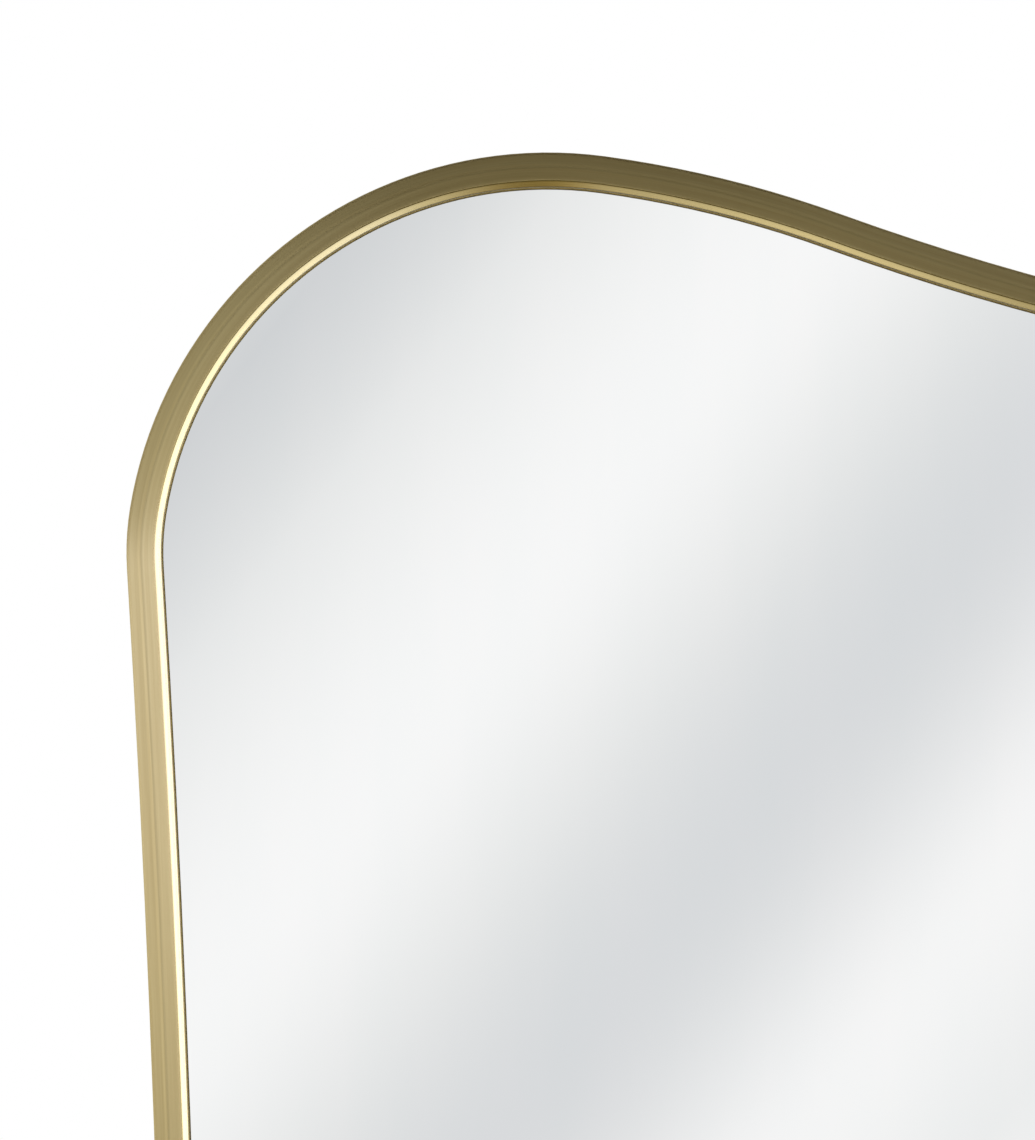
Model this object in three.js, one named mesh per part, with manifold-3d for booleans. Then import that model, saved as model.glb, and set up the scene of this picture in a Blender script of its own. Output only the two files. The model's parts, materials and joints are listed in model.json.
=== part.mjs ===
// Wall mirror with an irregular, four-lobed outline in a slim brushed-brass-coloured frame.
//
// The mirror is modelled as it lies on its back on a bench: x to the right, y up the mirror and
// z towards the person looking into it, with the wall at z = 0. The last lines stand it upright,
// so that +Z is up, the glass faces -Y and the wall is the plane y = 0. Lengths are millimetres.

import * as THREE from 'three';
import { mergeVertices } from 'three/addons/utils/BufferGeometryUtils.js';
import Module from 'manifold-3d';

const wasm = await Module();
wasm.setup();

// ---------------------------------------------------------------- driving dimensions

// Outline, seen from the front. Each lobe is a circle; a hollow arc joins it to the next one.
const overallWidth = 600;
const overallHeight = 900;
const topLeft = { radius: 114.5, leadRadius: 74, leadAngle: 170.8, shoulderRadius: 310, shoulderAngle: 82.3 };
const topRight = { radius: 100, fromRight: 22, fromTop: 58 };
const bottomRight = { radius: 130 };
const bottomLeft = { radius: 100, fromLeft: 6, fromBottom: 50 };
const topHollowRadius = 715;
const rightHollowRadius = 2200;
const bottomHollowRadius = 1300;
const leftHollowRadius = 6200;
const chordError = 0.12; // how far a straight facet may leave its arc

// Frame section: one bent extrusion with a crowned face, a chamfered lip and a rear rib.
const faceWidth = 7.7;
const crownHeight = 0.15;
const edgeRound = 0.8;
const lipChamfer = 1.5;
const lipDepth = 4;
const lipWall = 1.5;
const lipFootWidth = 3.5;
const lipFootThickness = 1.2;
const webThickness = 1.8;
const wallThickness = 1.5;
const ribReach = 2.1;
const ribThickness = 1.2;
const jointGap = 0.3; // hairline where the two ends of the bent frame meet, at the bottom

// The stack that the frame holds, front to back.
const seatGap = 0.25; // between pieces that rest on each other
const gasketThickness = 0.8;
const gasketWidth = 2.9;
const gasketSetback = 0.4; // from the sight edge, so that the strip stays out of view
const glassThickness = 4;
const glassSeam = 0.5; // ground chamfer round the glass
const paneClearance = 0.4; // from the rib's tip to the edge of the glass and of the board
const padThickness = 2;
const padLength = 60;
const padWidth = 25;
const padColumn = 150; // pads stand this far left and right of the middle
const padRowPitch = 250;
const boardThickness = 6;

// Fixings.
const clip = { thickness: 1.2, width: 14, reach: 16, flange: 5.5, wallClearance: 0.6, bend: 0.9, screwInset: 9 };
const panScrew = { shankRadius: 1.5, headRadius: 3.4, headHeight: 1.9, length: 7, point: 1.6 };
const countersunk = { shankRadius: 1.4, headRadius: 2.4, headHeight: 1.1, sink: 0.1 };
const holeClearance = 0.3; // round every screw
const crossSlot = { width: 0.8, length: 3.6, depth: 0.9 };
const joiner = { length: 70, height: 10, thickness: 1.6, innerScrew: 12, outerScrew: 26 };

// Hangers: a strap rolled round the straight bar of a D-shaped ring.
const hanger = { width: 14, thickness: 1.2, length: 40, firstScrew: 22, secondScrew: 34 };
const hangerX = 170;
const hangerY = 250; // height of the rings' pivots above the middle of the mirror
const hangerRearClearance = 0.75;
const ring = { wireRadius: 1.5, halfWidth: 12, drop: 15, cornerRadius: 3, bowRadius: 11 };
const ringClearance = 0.4; // between the ring's wire and the rolled strap
const curlEndAngle = -200; // the strap is rolled this far round, from its tangent at 90 degrees

const bumper = { radius: 6, edgeRound: 1, inset: 42 };
const wallGap = 1; // the bumpers hold the frame this far off the wall

// ---------------------------------------------------------------- levels above the wall

const curlInner = ring.wireRadius + ringClearance;
const curlOuter = curlInner + hanger.thickness;
const rearRecess = seatGap + 2 * curlOuter + hangerRearClearance;
const boardBack = wallGap + rearRecess;
const boardFront = boardBack + boardThickness;
const padBack = boardFront + seatGap;
const glassBack = padBack + padThickness + seatGap;
const glassFront = glassBack + glassThickness;
const gasketBack = glassFront + seatGap;
const lipEnd = gasketBack + gasketThickness + seatGap;
const faceLevel = lipEnd + lipDepth;
const clipFront = boardBack - seatGap;
const clipBack = clipFront - clip.thickness;
const ribFront = clipBack - seatGap;
const ribBack = ribFront - ribThickness;
const pivotLevel = boardBack - seatGap - curlOuter;

// ---------------------------------------------------------------- materials

function finish(color, roughness, metalness) {
  return new THREE.MeshStandardMaterial({ color, roughness, metalness });
}
const brushedBrass = finish(0xb09a68, 0.36, 1);
const silvering = finish(0xe6e9ea, 0.03, 1);
const blackRubber = finish(0x1d1d1f, 0.8, 0);
const blackBoard = finish(0x232120, 0.85, 0);
const whiteFoam = finish(0xe9e7e0, 0.9, 0);
const zincSteel = finish(0xb9bcc0, 0.42, 1);
const nickelSteel = finish(0xc9c6be, 0.25, 1);
const bumperRubber = finish(0x3a3a3c, 0.75, 0);

// ---------------------------------------------------------------- solids

function toSolid(geometry) {
  const bare = geometry.clone();
  bare.deleteAttribute('normal');
  bare.deleteAttribute('uv');
  const merged = mergeVertices(bare, 1e-4);
  return new wasm.Manifold(new wasm.Mesh({
    numProp: 3,
    vertProperties: new Float32Array(merged.attributes.position.array),
    triVerts: new Uint32Array(merged.index.array),
  }));
}

function toGeometry(solid) {
  const mesh = solid.getMesh();
  const geometry = new THREE.BufferGeometry();
  geometry.setAttribute('position', new THREE.BufferAttribute(mesh.vertProperties, 3));
  geometry.setIndex(new THREE.BufferAttribute(mesh.triVerts, 1));
  geometry.computeVertexNormals();
  return geometry;
}

function cut(geometry, cutters) {
  let solid = toSolid(geometry);
  for (const cutter of cutters) {
    solid = solid.subtract(toSolid(cutter));
  }
  return toGeometry(solid);
}

// A turned piece: the profile's points are [radius, height] and it stands along +z.
function turned(profile, sides) {
  const points = profile.map(([radius, height]) => new THREE.Vector2(radius, height));
  return new THREE.LatheGeometry(points, sides).rotateX(Math.PI / 2);
}

// A plain round bar along +z, used for pieces and for the holes that they pass through.
function rod(radius, from, to, sides = 12) {
  return turned([[0, from], [radius, from], [radius, to], [0, to]], sides);
}

// A flat piece of constant thickness between two levels.
function slab(points, back, front, holes = [], edge = 0) {
  const shape = new THREE.Shape(points);
  for (const hole of holes) {
    shape.holes.push(new THREE.Path(hole));
  }
  const geometry = new THREE.ExtrudeGeometry(shape, {
    depth: front - back - 2 * edge,
    bevelEnabled: edge > 0,
    bevelThickness: edge,
    bevelSize: edge,
    bevelOffset: -edge,
    bevelSegments: 1,
  });
  return geometry.translate(0, 0, back + edge);
}

function circlePoints(x, y, radius, sides = 12) {
  const points = [];
  for (let i = 0; i < sides; i += 1) {
    const angle = (2 * Math.PI * i) / sides;
    points.push(new THREE.Vector2(x + radius * Math.cos(angle), y + radius * Math.sin(angle)));
  }
  return points;
}

// ---------------------------------------------------------------- outline

// An arc has a centre, a radius (negative where the outline is hollow) and the directions of its
// outward normal at both ends. A station is a point of the outline with its outward normal.

function direction(degrees) {
  const angle = THREE.MathUtils.degToRad(degrees);
  return new THREE.Vector2(Math.cos(angle), Math.sin(angle));
}

function station(arc, degrees) {
  const normal = direction(degrees);
  return { point: arc.centre.clone().addScaledVector(normal, arc.radius), normal };
}

function stationAt(arc, share) {
  return station(arc, arc.from + (arc.to - arc.from) * share);
}

// Centre of the hollow arc that touches two round lobes from outside.
function hollowBetween(first, second, radius) {
  const toFirst = radius + first.radius;
  const toSecond = radius + second.radius;
  const along = second.centre.clone().sub(first.centre);
  const distance = along.length();
  along.divideScalar(distance);
  const foot = (distance ** 2 + toFirst ** 2 - toSecond ** 2) / (2 * distance);
  const height = Math.sqrt(toFirst ** 2 - foot ** 2);
  const outwards = new THREE.Vector2(-along.y, along.x);
  const centre = first.centre.clone().addScaledVector(along, foot).addScaledVector(outwards, height);
  return { centre, radius: -radius };
}

// Direction of the shared outward normal where one arc runs into the next.
function meetingAngle(arc, next) {
  const normal = arc.centre.clone().sub(next.centre).divideScalar(next.radius - arc.radius);
  return THREE.MathUtils.radToDeg(Math.atan2(normal.y, normal.x));
}

function turnBetween(from, to, clockwise) {
  const turn = (((to - from) % 360) + 360) % 360;
  return clockwise ? turn - 360 : turn;
}

// The whole outline, clockwise, as one ring of tangent arcs.
function outlineArcs() {
  const left = -overallWidth / 2;
  const right = overallWidth / 2;
  const top = overallHeight / 2;
  const bottom = -overallHeight / 2;

  const leadStep = topLeft.radius - topLeft.leadRadius;
  const mainX = left + topLeft.leadRadius - leadStep * direction(topLeft.leadAngle).x;
  const main = { centre: new THREE.Vector2(mainX, top - topLeft.radius), radius: topLeft.radius };
  const lead = {
    centre: main.centre.clone().addScaledVector(direction(topLeft.leadAngle), leadStep),
    radius: topLeft.leadRadius,
  };
  const shoulderStep = topLeft.radius - topLeft.shoulderRadius;
  const shoulder = {
    centre: main.centre.clone().addScaledVector(direction(topLeft.shoulderAngle), shoulderStep),
    radius: topLeft.shoulderRadius,
  };
  const upperRight = {
    centre: new THREE.Vector2(
      right - topRight.fromRight - topRight.radius, top - topRight.fromTop - topRight.radius),
    radius: topRight.radius,
  };
  const lowerRight = {
    centre: new THREE.Vector2(right - bottomRight.radius, bottom + bottomRight.radius),
    radius: bottomRight.radius,
  };
  const lowerLeft = {
    centre: new THREE.Vector2(
      left + bottomLeft.fromLeft + bottomLeft.radius, bottom + bottomLeft.fromBottom + bottomLeft.radius),
    radius: bottomLeft.radius,
  };
  const topHollow = hollowBetween(shoulder, upperRight, topHollowRadius);
  const rightHollow = hollowBetween(upperRight, lowerRight, rightHollowRadius);
  const bottomHollow = hollowBetween(lowerRight, lowerLeft, bottomHollowRadius);
  const leftHollow = hollowBetween(lowerLeft, lead, leftHollowRadius);

  const arcs = {
    bottomHollow, lowerLeft, leftHollow, lead, main, shoulder, topHollow, upperRight, rightHollow, lowerRight,
  };
  const ordered = Object.values(arcs);
  ordered.forEach((arc, i) => {
    const before = ordered[(i + ordered.length - 1) % ordered.length];
    const after = ordered[(i + 1) % ordered.length];
    arc.from = meetingAngle(before, arc);
    arc.to = arc.from + turnBetween(arc.from, meetingAngle(arc, after), arc.radius > 0);
  });
  return arcs;
}

// Stations along a run of arcs, close enough that no facet leaves its arc by more than chordError.
function walk(arcs) {
  const stations = [];
  for (const arc of arcs) {
    const turn = THREE.MathUtils.degToRad(Math.abs(arc.to - arc.from));
    const largest = 2 * Math.acos(1 - chordError / Math.abs(arc.radius));
    const steps = Math.max(1, Math.ceil(turn / largest));
    for (let i = 0; i < steps; i += 1) {
      stations.push(stationAt(arc, i / steps));
    }
  }
  return stations;
}

const outline = outlineArcs();
const seam = (outline.bottomHollow.from + outline.bottomHollow.to) / 2;
const roundTrip = [
  { ...outline.bottomHollow, from: seam },
  outline.lowerLeft,
  outline.leftHollow,
  outline.lead,
  outline.main,
  outline.shoulder,
  outline.topHollow,
  outline.upperRight,
  outline.rightHollow,
  outline.lowerRight,
  { ...outline.bottomHollow, to: seam },
];
const rim = walk(roundTrip);

function insetPoints(stations, inset) {
  return stations.map(({ point, normal }) => point.clone().addScaledVector(normal, -inset));
}

// Sweeps a section along stations. Section points are [inset, level], counter-clockwise.
function sweep(stations, section, closed) {
  const positions = [];
  for (const { point, normal } of stations) {
    for (const [inset, level] of section) {
      positions.push(point.x - normal.x * inset, point.y - normal.y * inset, level);
    }
  }
  const indices = [];
  const count = section.length;
  const spans = closed ? stations.length : stations.length - 1;
  for (let i = 0; i < spans; i += 1) {
    const here = i * count;
    const there = ((i + 1) % stations.length) * count;
    for (let j = 0; j < count; j += 1) {
      const k = (j + 1) % count;
      indices.push(here + j, there + j, there + k, here + j, there + k, here + k);
    }
  }
  if (!closed) {
    const contour = section.map(([inset, level]) => new THREE.Vector2(inset, level));
    const last = (stations.length - 1) * count;
    for (const [a, b, c] of THREE.ShapeUtils.triangulateShape(contour, [])) {
      indices.push(a, b, c, last + c, last + b, last + a);
    }
  }
  const geometry = new THREE.BufferGeometry();
  geometry.setAttribute('position', new THREE.Float32BufferAttribute(positions, 3));
  geometry.setIndex(indices);
  geometry.computeVertexNormals();
  return geometry;
}

// ---------------------------------------------------------------- the assembly

const mirror = new THREE.Group();
mirror.name = 'irregular_wall_mirror';

function add(name, geometry, material) {
  const mesh = new THREE.Mesh(geometry, material);
  mesh.name = name;
  mirror.add(mesh);
  return mesh;
}

// ---- frame, bent from one length of extrusion and closed by a butt joint at the bottom

const sightEdge = faceWidth + lipChamfer; // inset at which the view into the glass begins
const paneInset = wallThickness + ribReach + paneClearance;
const joinerInset = wallThickness + seatGap;
const joinerLevel = (boardBack + glassFront) / 2;

// A place on the bottom arc, at a distance along it from the seam; positive runs clockwise.
function besideSeam(distance) {
  const { bottomHollow } = outline;
  return station(bottomHollow, seam - THREE.MathUtils.radToDeg(distance / bottomHollow.radius));
}

function frameSection() {
  const crownFoot = faceLevel - crownHeight;
  const roundMiddle = edgeRound * (1 - Math.SQRT1_2);
  const lipInner = sightEdge - lipWall;
  return [
    [0, wallGap],
    [wallThickness, wallGap],
    [wallThickness, ribBack],
    [wallThickness + ribReach, ribBack],
    [wallThickness + ribReach, ribFront],
    [wallThickness, ribFront],
    [wallThickness, faceLevel - webThickness],
    [lipInner, faceLevel - webThickness],
    [lipInner, lipEnd + lipFootThickness],
    [sightEdge - lipFootWidth, lipEnd + lipFootThickness],
    [sightEdge - lipFootWidth, lipEnd],
    [sightEdge, lipEnd],
    [sightEdge, crownFoot - lipChamfer],
    [faceWidth, crownFoot],
    [faceWidth / 2, faceLevel],
    [edgeRound, crownFoot],
    [roundMiddle, crownFoot - roundMiddle],
    [0, crownFoot - edgeRound],
  ];
}

function addFrame() {
  const start = besideSeam(jointGap / 2);
  const end = besideSeam(-jointGap / 2);
  const body = sweep([start, ...rim.slice(1), end], frameSection(), false);
  return add('frame', cut(body, joinerPlaces.map(screwHole)), brushedBrass);
}

// ---- joiner: a flat bar behind the seam, held by four countersunk screws from below

const joinerPlaces = [-joiner.outerScrew, -joiner.innerScrew, joiner.innerScrew, joiner.outerScrew];

// Turns a piece that stands along +z, tip up, so that it points inwards at a station.
function pointInwards(object, place) {
  const inwards = new THREE.Vector3(-place.normal.x, -place.normal.y, 0);
  object.quaternion.setFromUnitVectors(new THREE.Vector3(0, 0, 1), inwards);
  object.position.set(place.point.x, place.point.y, joinerLevel);
  object.updateMatrix();
  return object;
}

function screwHole(distance) {
  const shank = countersunk.shankRadius + holeClearance;
  const head = countersunk.headRadius + holeClearance;
  const headEnd = countersunk.sink + countersunk.headHeight;
  const slope = (head - shank) / countersunk.headHeight;
  const outside = head + slope * countersunk.sink;
  const through = paneInset;
  const cutter = turned(
    [[0, -1], [outside, -1], [outside, 0], [shank, headEnd], [shank, through], [0, through]], 12);
  const place = pointInwards(new THREE.Object3D(), besideSeam(distance));
  return cutter.applyMatrix4(place.matrix);
}

function addJoiner() {
  const half = joiner.length / 2;
  const steps = 6;
  const stations = [];
  for (let i = 0; i <= steps; i += 1) {
    stations.push(besideSeam(-half + (joiner.length * i) / steps));
  }
  const low = joinerLevel - joiner.height / 2;
  const high = joinerLevel + joiner.height / 2;
  const inner = joinerInset + joiner.thickness;
  const bar = sweep(stations, [[joinerInset, low], [inner, low], [inner, high], [joinerInset, high]], false);
  add('frame_joiner', cut(bar, joinerPlaces.map(screwHole)), zincSteel);

  const { shankRadius, headRadius, headHeight, sink } = countersunk;
  const tip = joinerInset + joiner.thickness + sink;
  const screw = turned(
    [[0, sink], [headRadius, sink], [shankRadius, sink + headHeight], [shankRadius, tip], [0, tip]], 12);
  const slotted = cut(screw, crossCutters(sink));
  joinerPlaces.forEach((distance, i) => {
    pointInwards(add(`joiner_screw_${i + 1}`, slotted, zincSteel), besideSeam(distance));
  });
}

// The cross recess in a screw head whose outer face is at the given height, driver end down.
function crossCutters(headFace) {
  const { width, length, depth } = crossSlot;
  const bar = new THREE.BoxGeometry(length, width, 2 * depth).translate(0, 0, headFace);
  return [bar, bar.clone().rotateZ(Math.PI / 2)];
}

// ---- glazing: gasket, silvered glass and the foam pads behind it

function addGlazing() {
  const outer = sightEdge - gasketSetback - gasketWidth;
  const inner = sightEdge - gasketSetback;
  const gasketFront = gasketBack + gasketThickness;
  const strip = [[outer, gasketBack], [inner, gasketBack], [inner, gasketFront], [outer, gasketFront]];
  add('glazing_gasket', sweep(rim, strip, true), blackRubber);

  const paneEdge = insetPoints(rim, paneInset).reverse();
  add('mirror_glass', slab(paneEdge, glassBack, glassFront, [], glassSeam), silvering);

  const pad = new THREE.BoxGeometry(padLength, padWidth, padThickness);
  let number = 1;
  for (const row of [1, 0, -1]) {
    for (const side of [-1, 1]) {
      const mesh = add(`foam_pad_${number}`, pad, whiteFoam);
      mesh.position.set(side * padColumn, row * padRowPitch, padBack + padThickness / 2);
      number += 1;
    }
  }
}

// ---- backing board, held under the frame's rib by bent clips

const clipPlaces = [
  stationAt(outline.leftHollow, 0.2),
  stationAt(outline.leftHollow, 0.8),
  stationAt(outline.topHollow, 0.15),
  stationAt(outline.topHollow, 0.85),
  stationAt(outline.rightHollow, 0.2),
  stationAt(outline.rightHollow, 0.8),
  stationAt(outline.bottomHollow, 0.12),
  stationAt(outline.bottomHollow, 0.88),
];
const clipOuter = wallThickness + clip.wallClearance;
const hangerSides = [['left', -1], ['right', 1]];

function clipScrewPoint({ point, normal }) {
  return point.clone().addScaledVector(normal, -(clipOuter + clip.screwInset));
}

function hangerScrewPoints(side) {
  return [hanger.firstScrew, hanger.secondScrew].map(
    (below) => new THREE.Vector2(side * hangerX, hangerY - below));
}

function addBoard() {
  const screwPoints = [
    ...clipPlaces.map(clipScrewPoint),
    ...hangerSides.flatMap(([, side]) => hangerScrewPoints(side)),
  ];
  const pilot = panScrew.shankRadius + holeClearance;
  const holes = screwPoints.map(({ x, y }) => circlePoints(x, y, pilot, 10));
  add('backing_board', slab(insetPoints(rim, paneInset).reverse(), boardBack, boardFront, holes), blackBoard);
}

// A pan-head screw, head down and tip up, with its seat at z = 0.
function panScrewGeometry() {
  const { shankRadius, headRadius, headHeight, length, point } = panScrew;
  const profile = [
    [0, -headHeight],
    [headRadius * 0.62, -headHeight],
    [headRadius * 0.92, -headHeight * 0.72],
    [headRadius, -headHeight * 0.3],
    [headRadius, 0],
    [shankRadius, 0],
    [shankRadius, length - point],
    [0, length],
  ];
  return cut(turned(profile, 12), crossCutters(-headHeight));
}

function addClips(screw) {
  const inner = clipOuter + clip.reach;
  const flangeInner = clipOuter + clip.thickness;
  const section = [
    [clipOuter + clip.bend, clipBack],
    [inner, clipBack],
    [inner, clipFront],
    [flangeInner, clipFront],
    [flangeInner, clipBack + clip.flange],
    [clipOuter, clipBack + clip.flange],
    [clipOuter, clipBack + clip.bend],
  ].map(([inset, level]) => new THREE.Vector2(inset, level));
  const bent = new THREE.ExtrudeGeometry(new THREE.Shape(section), { depth: clip.width, bevelEnabled: false });
  bent.rotateX(Math.PI / 2).translate(0, clip.width / 2, 0);
  const hole = rod(panScrew.shankRadius + holeClearance, clipBack - 1, clipFront + 1);
  const geometry = cut(bent, [hole.translate(clipOuter + clip.screwInset, 0, 0)]);

  clipPlaces.forEach((place, i) => {
    const mesh = add(`retaining_clip_${i + 1}`, geometry, zincSteel);
    mesh.position.set(place.point.x, place.point.y, 0);
    mesh.rotation.z = Math.atan2(-place.normal.y, -place.normal.x);
    const at = clipScrewPoint(place);
    add(`clip_screw_${i + 1}`, screw, zincSteel).position.set(at.x, at.y, clipBack - seatGap);
  });
}

// ---- hangers: strap plates and the rings that swing in them

function curlPoint(radius, degrees) {
  const unit = direction(degrees);
  return new THREE.Vector2(unit.x * radius, pivotLevel + unit.y * radius);
}

function strapGeometry() {
  const steps = 14;
  const outerArc = [];
  const innerArc = [];
  for (let i = 0; i <= steps; i += 1) {
    const angle = 90 + ((curlEndAngle - 90) * i) / steps;
    outerArc.push(curlPoint(curlOuter, angle));
    innerArc.unshift(curlPoint(curlInner, angle));
  }
  const end = -hanger.length;
  const section = [
    new THREE.Vector2(end, pivotLevel + curlOuter),
    ...outerArc,
    ...innerArc,
    new THREE.Vector2(end, pivotLevel + curlInner),
  ];
  const rolled = new THREE.ExtrudeGeometry(
    new THREE.Shape(section), { depth: hanger.width, bevelEnabled: false, curveSegments: 1 });
  // The section's first axis becomes y, its second z, and the extrusion runs along x.
  const turn = new THREE.Matrix4().makeBasis(
    new THREE.Vector3(0, 1, 0), new THREE.Vector3(0, 0, 1), new THREE.Vector3(1, 0, 0));
  rolled.applyMatrix4(turn).translate(-hanger.width / 2, 0, 0);

  const half = hanger.width / 2;
  const plan = [new THREE.Vector2(half, 2 * curlOuter), new THREE.Vector2(-half, 2 * curlOuter)];
  const roundSteps = 8;
  for (let i = 0; i <= roundSteps; i += 1) {
    const unit = direction(180 + (180 * i) / roundSteps);
    plan.push(new THREE.Vector2(unit.x * half, half - hanger.length + unit.y * half));
  }
  const envelope = slab(plan, wallGap, boardBack);
  const rounded = toGeometry(toSolid(rolled).intersect(toSolid(envelope)));
  const hole = rod(panScrew.shankRadius + holeClearance, wallGap, boardBack);
  return cut(rounded, [
    hole.clone().translate(0, -hanger.firstScrew, 0),
    hole.clone().translate(0, -hanger.secondScrew, 0),
  ]);
}

// The ring hangs from its straight bar, which lies on the pivot.
function ringGeometry() {
  const { wireRadius, halfWidth, drop, cornerRadius, bowRadius } = ring;
  const cornerX = halfWidth - cornerRadius;
  const bowX = halfWidth - bowRadius;
  const bowY = bowRadius - drop;
  const arcs = [
    { centre: new THREE.Vector2(cornerX, -cornerRadius), radius: cornerRadius, from: 90, to: 0 },
    { centre: new THREE.Vector2(bowX, bowY), radius: bowRadius, from: 0, to: -90 },
    { centre: new THREE.Vector2(-bowX, bowY), radius: bowRadius, from: -90, to: -180 },
    { centre: new THREE.Vector2(-cornerX, -cornerRadius), radius: cornerRadius, from: 180, to: 90 },
  ];
  const stations = arcs.flatMap((arc) => [...walk([arc]), stationAt(arc, 1)]);
  const section = circlePoints(0, 0, wireRadius, 8).map(({ x, y }) => [x, y]);
  return sweep(stations, section, true);
}

function addHangers(screw) {
  const strap = strapGeometry();
  const wireRing = ringGeometry();
  for (const [name, side] of hangerSides) {
    add(`hanger_strap_${name}`, strap, nickelSteel).position.set(side * hangerX, hangerY, 0);
    add(`hanger_ring_${name}`, wireRing, nickelSteel).position.set(side * hangerX, hangerY, pivotLevel);
    hangerScrewPoints(side).forEach(({ x, y }, i) => {
      const level = pivotLevel + curlInner - seatGap;
      add(`hanger_screw_${name}_${i + 1}`, screw, zincSteel).position.set(x, y, level);
    });
  }
}

// ---- bumpers: stuck to the board, they keep the frame off the wall

function addBumpers() {
  const { radius, edgeRound: rounding, inset } = bumper;
  const front = boardBack - seatGap;
  const button = turned([[0, 0], [radius - rounding, 0], [radius, rounding], [radius, front], [0, front]], 20);
  const corners = [
    ['upper_left', outline.main, 135],
    ['upper_right', outline.upperRight, 45],
    ['lower_right', outline.lowerRight, -45],
    ['lower_left', outline.lowerLeft, -135],
  ];
  for (const [name, lobe, towards] of corners) {
    const at = lobe.centre.clone().addScaledVector(direction(towards), lobe.radius - inset);
    add(`wall_bumper_${name}`, button, bumperRubber).position.set(at.x, at.y, 0);
  }
}

addFrame();
addJoiner();
addGlazing();
addBoard();
const screw = panScrewGeometry();
addClips(screw);
addHangers(screw);
addBumpers();

mirror.rotation.x = Math.PI / 2;
mirror.updateMatrixWorld(true);

export default mirror;
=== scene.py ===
# %% [markdown]
# # An irregular wall mirror
# The real object is a silvered pane in a slim frame of brushed, brass-coloured aluminium. One length
# of extrusion is bent round a lopsided outline with four soft lobes, and its ends meet at the bottom.
# Behind the pane lie foam pads and a black backing board, and bent clips hold the board in place.
# The mirror hangs on two rings, and four rubber buttons keep it off the wall.
#
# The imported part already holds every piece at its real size. It could be rendered as it is, but its
# arcs are made of short straight facets. So the pieces that show are modelled again here, finely, in
# the same places, and each one then stands for its plain solid.

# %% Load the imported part
import json
import math

import bmesh
import bpy
from mathutils import Matrix, Vector


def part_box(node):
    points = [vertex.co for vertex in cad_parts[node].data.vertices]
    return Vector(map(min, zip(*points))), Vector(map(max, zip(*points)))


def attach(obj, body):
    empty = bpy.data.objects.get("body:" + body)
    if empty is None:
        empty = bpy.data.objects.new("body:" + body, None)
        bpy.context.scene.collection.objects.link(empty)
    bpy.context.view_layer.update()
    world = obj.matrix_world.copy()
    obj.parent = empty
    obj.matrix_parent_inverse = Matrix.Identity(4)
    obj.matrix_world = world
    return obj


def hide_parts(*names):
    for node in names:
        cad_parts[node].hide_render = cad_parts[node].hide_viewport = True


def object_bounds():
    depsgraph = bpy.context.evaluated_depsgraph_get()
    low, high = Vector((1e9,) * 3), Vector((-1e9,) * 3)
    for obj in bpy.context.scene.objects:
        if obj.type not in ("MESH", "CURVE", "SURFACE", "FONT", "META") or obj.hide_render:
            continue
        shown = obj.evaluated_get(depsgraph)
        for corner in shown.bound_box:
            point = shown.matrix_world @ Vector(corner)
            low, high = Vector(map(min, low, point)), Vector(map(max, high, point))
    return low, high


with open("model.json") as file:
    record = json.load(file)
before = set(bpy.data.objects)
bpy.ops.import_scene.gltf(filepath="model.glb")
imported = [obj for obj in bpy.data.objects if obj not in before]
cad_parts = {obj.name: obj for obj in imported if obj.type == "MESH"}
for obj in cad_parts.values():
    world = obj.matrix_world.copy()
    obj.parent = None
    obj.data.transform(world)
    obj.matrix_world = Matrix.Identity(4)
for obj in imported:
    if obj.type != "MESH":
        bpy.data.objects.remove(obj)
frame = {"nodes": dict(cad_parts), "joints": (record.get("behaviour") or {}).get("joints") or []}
cad_low, cad_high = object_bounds()
print("packed part:", len(frame["nodes"]), "nodes, size", [round(v, 4) for v in cad_high - cad_low])

# %% [markdown]
# ## Lengths
# Blender works in metres and the drawing of the mirror in millimetres, so every length below is
# written as millimetres times MM. The wall is the plane y = 0 and the glass faces -Y. A level is a
# height above the wall, which makes it the negative of y.

# %% Lengths of the outline and of the frame's section
MM = 0.001
TOP_LEFT = {"radius": 114.5 * MM, "lead_radius": 74 * MM, "lead_angle": 170.8,
            "shoulder_radius": 310 * MM, "shoulder_angle": 82.3}
TOP_RIGHT = {"radius": 100 * MM, "from_right": 22 * MM, "from_top": 58 * MM}
BOTTOM_RIGHT = {"radius": 130 * MM}
BOTTOM_LEFT = {"radius": 100 * MM, "from_left": 6 * MM, "from_bottom": 50 * MM}
HOLLOW_RADIUS = {"top": 715 * MM, "right": 2200 * MM, "bottom": 1300 * MM, "left": 6200 * MM}

FACE_WIDTH = 7.7 * MM
CROWN_HEIGHT = 0.15 * MM
EDGE_ROUND = 0.8 * MM
ARRIS_ROUND = 0.22 * MM
LIP_EDGE = 0.8 * MM
LIP_UNDERCUT = 0.4 * MM
LIP_CHAMFER = 1.5 * MM
LIP_WALL = 1.5 * MM
LIP_FOOT_WIDTH = 3.5 * MM
LIP_FOOT_THICKNESS = 1.2 * MM
WEB_THICKNESS = 1.8 * MM
WALL_THICKNESS = 1.5 * MM
RIB_REACH = 2.1 * MM
RIB_THICKNESS = 1.2 * MM
JOINT_GAP = 0.3 * MM
SIGHT_EDGE = FACE_WIDTH + LIP_CHAMFER
PANE_CLEARANCE = 0.4 * MM  # from the rib's tip to the edge of the glass and of the board
PANE_INSET = WALL_THICKNESS + RIB_REACH + PANE_CLEARANCE
print("sight edge", round(SIGHT_EDGE / MM, 2), "mm from the outer edge")

# %% Levels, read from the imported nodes
def levels(node):
    """The back and front level of a node: how far it reaches from the wall."""
    low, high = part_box(node)
    return -high.y, -low.y


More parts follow.
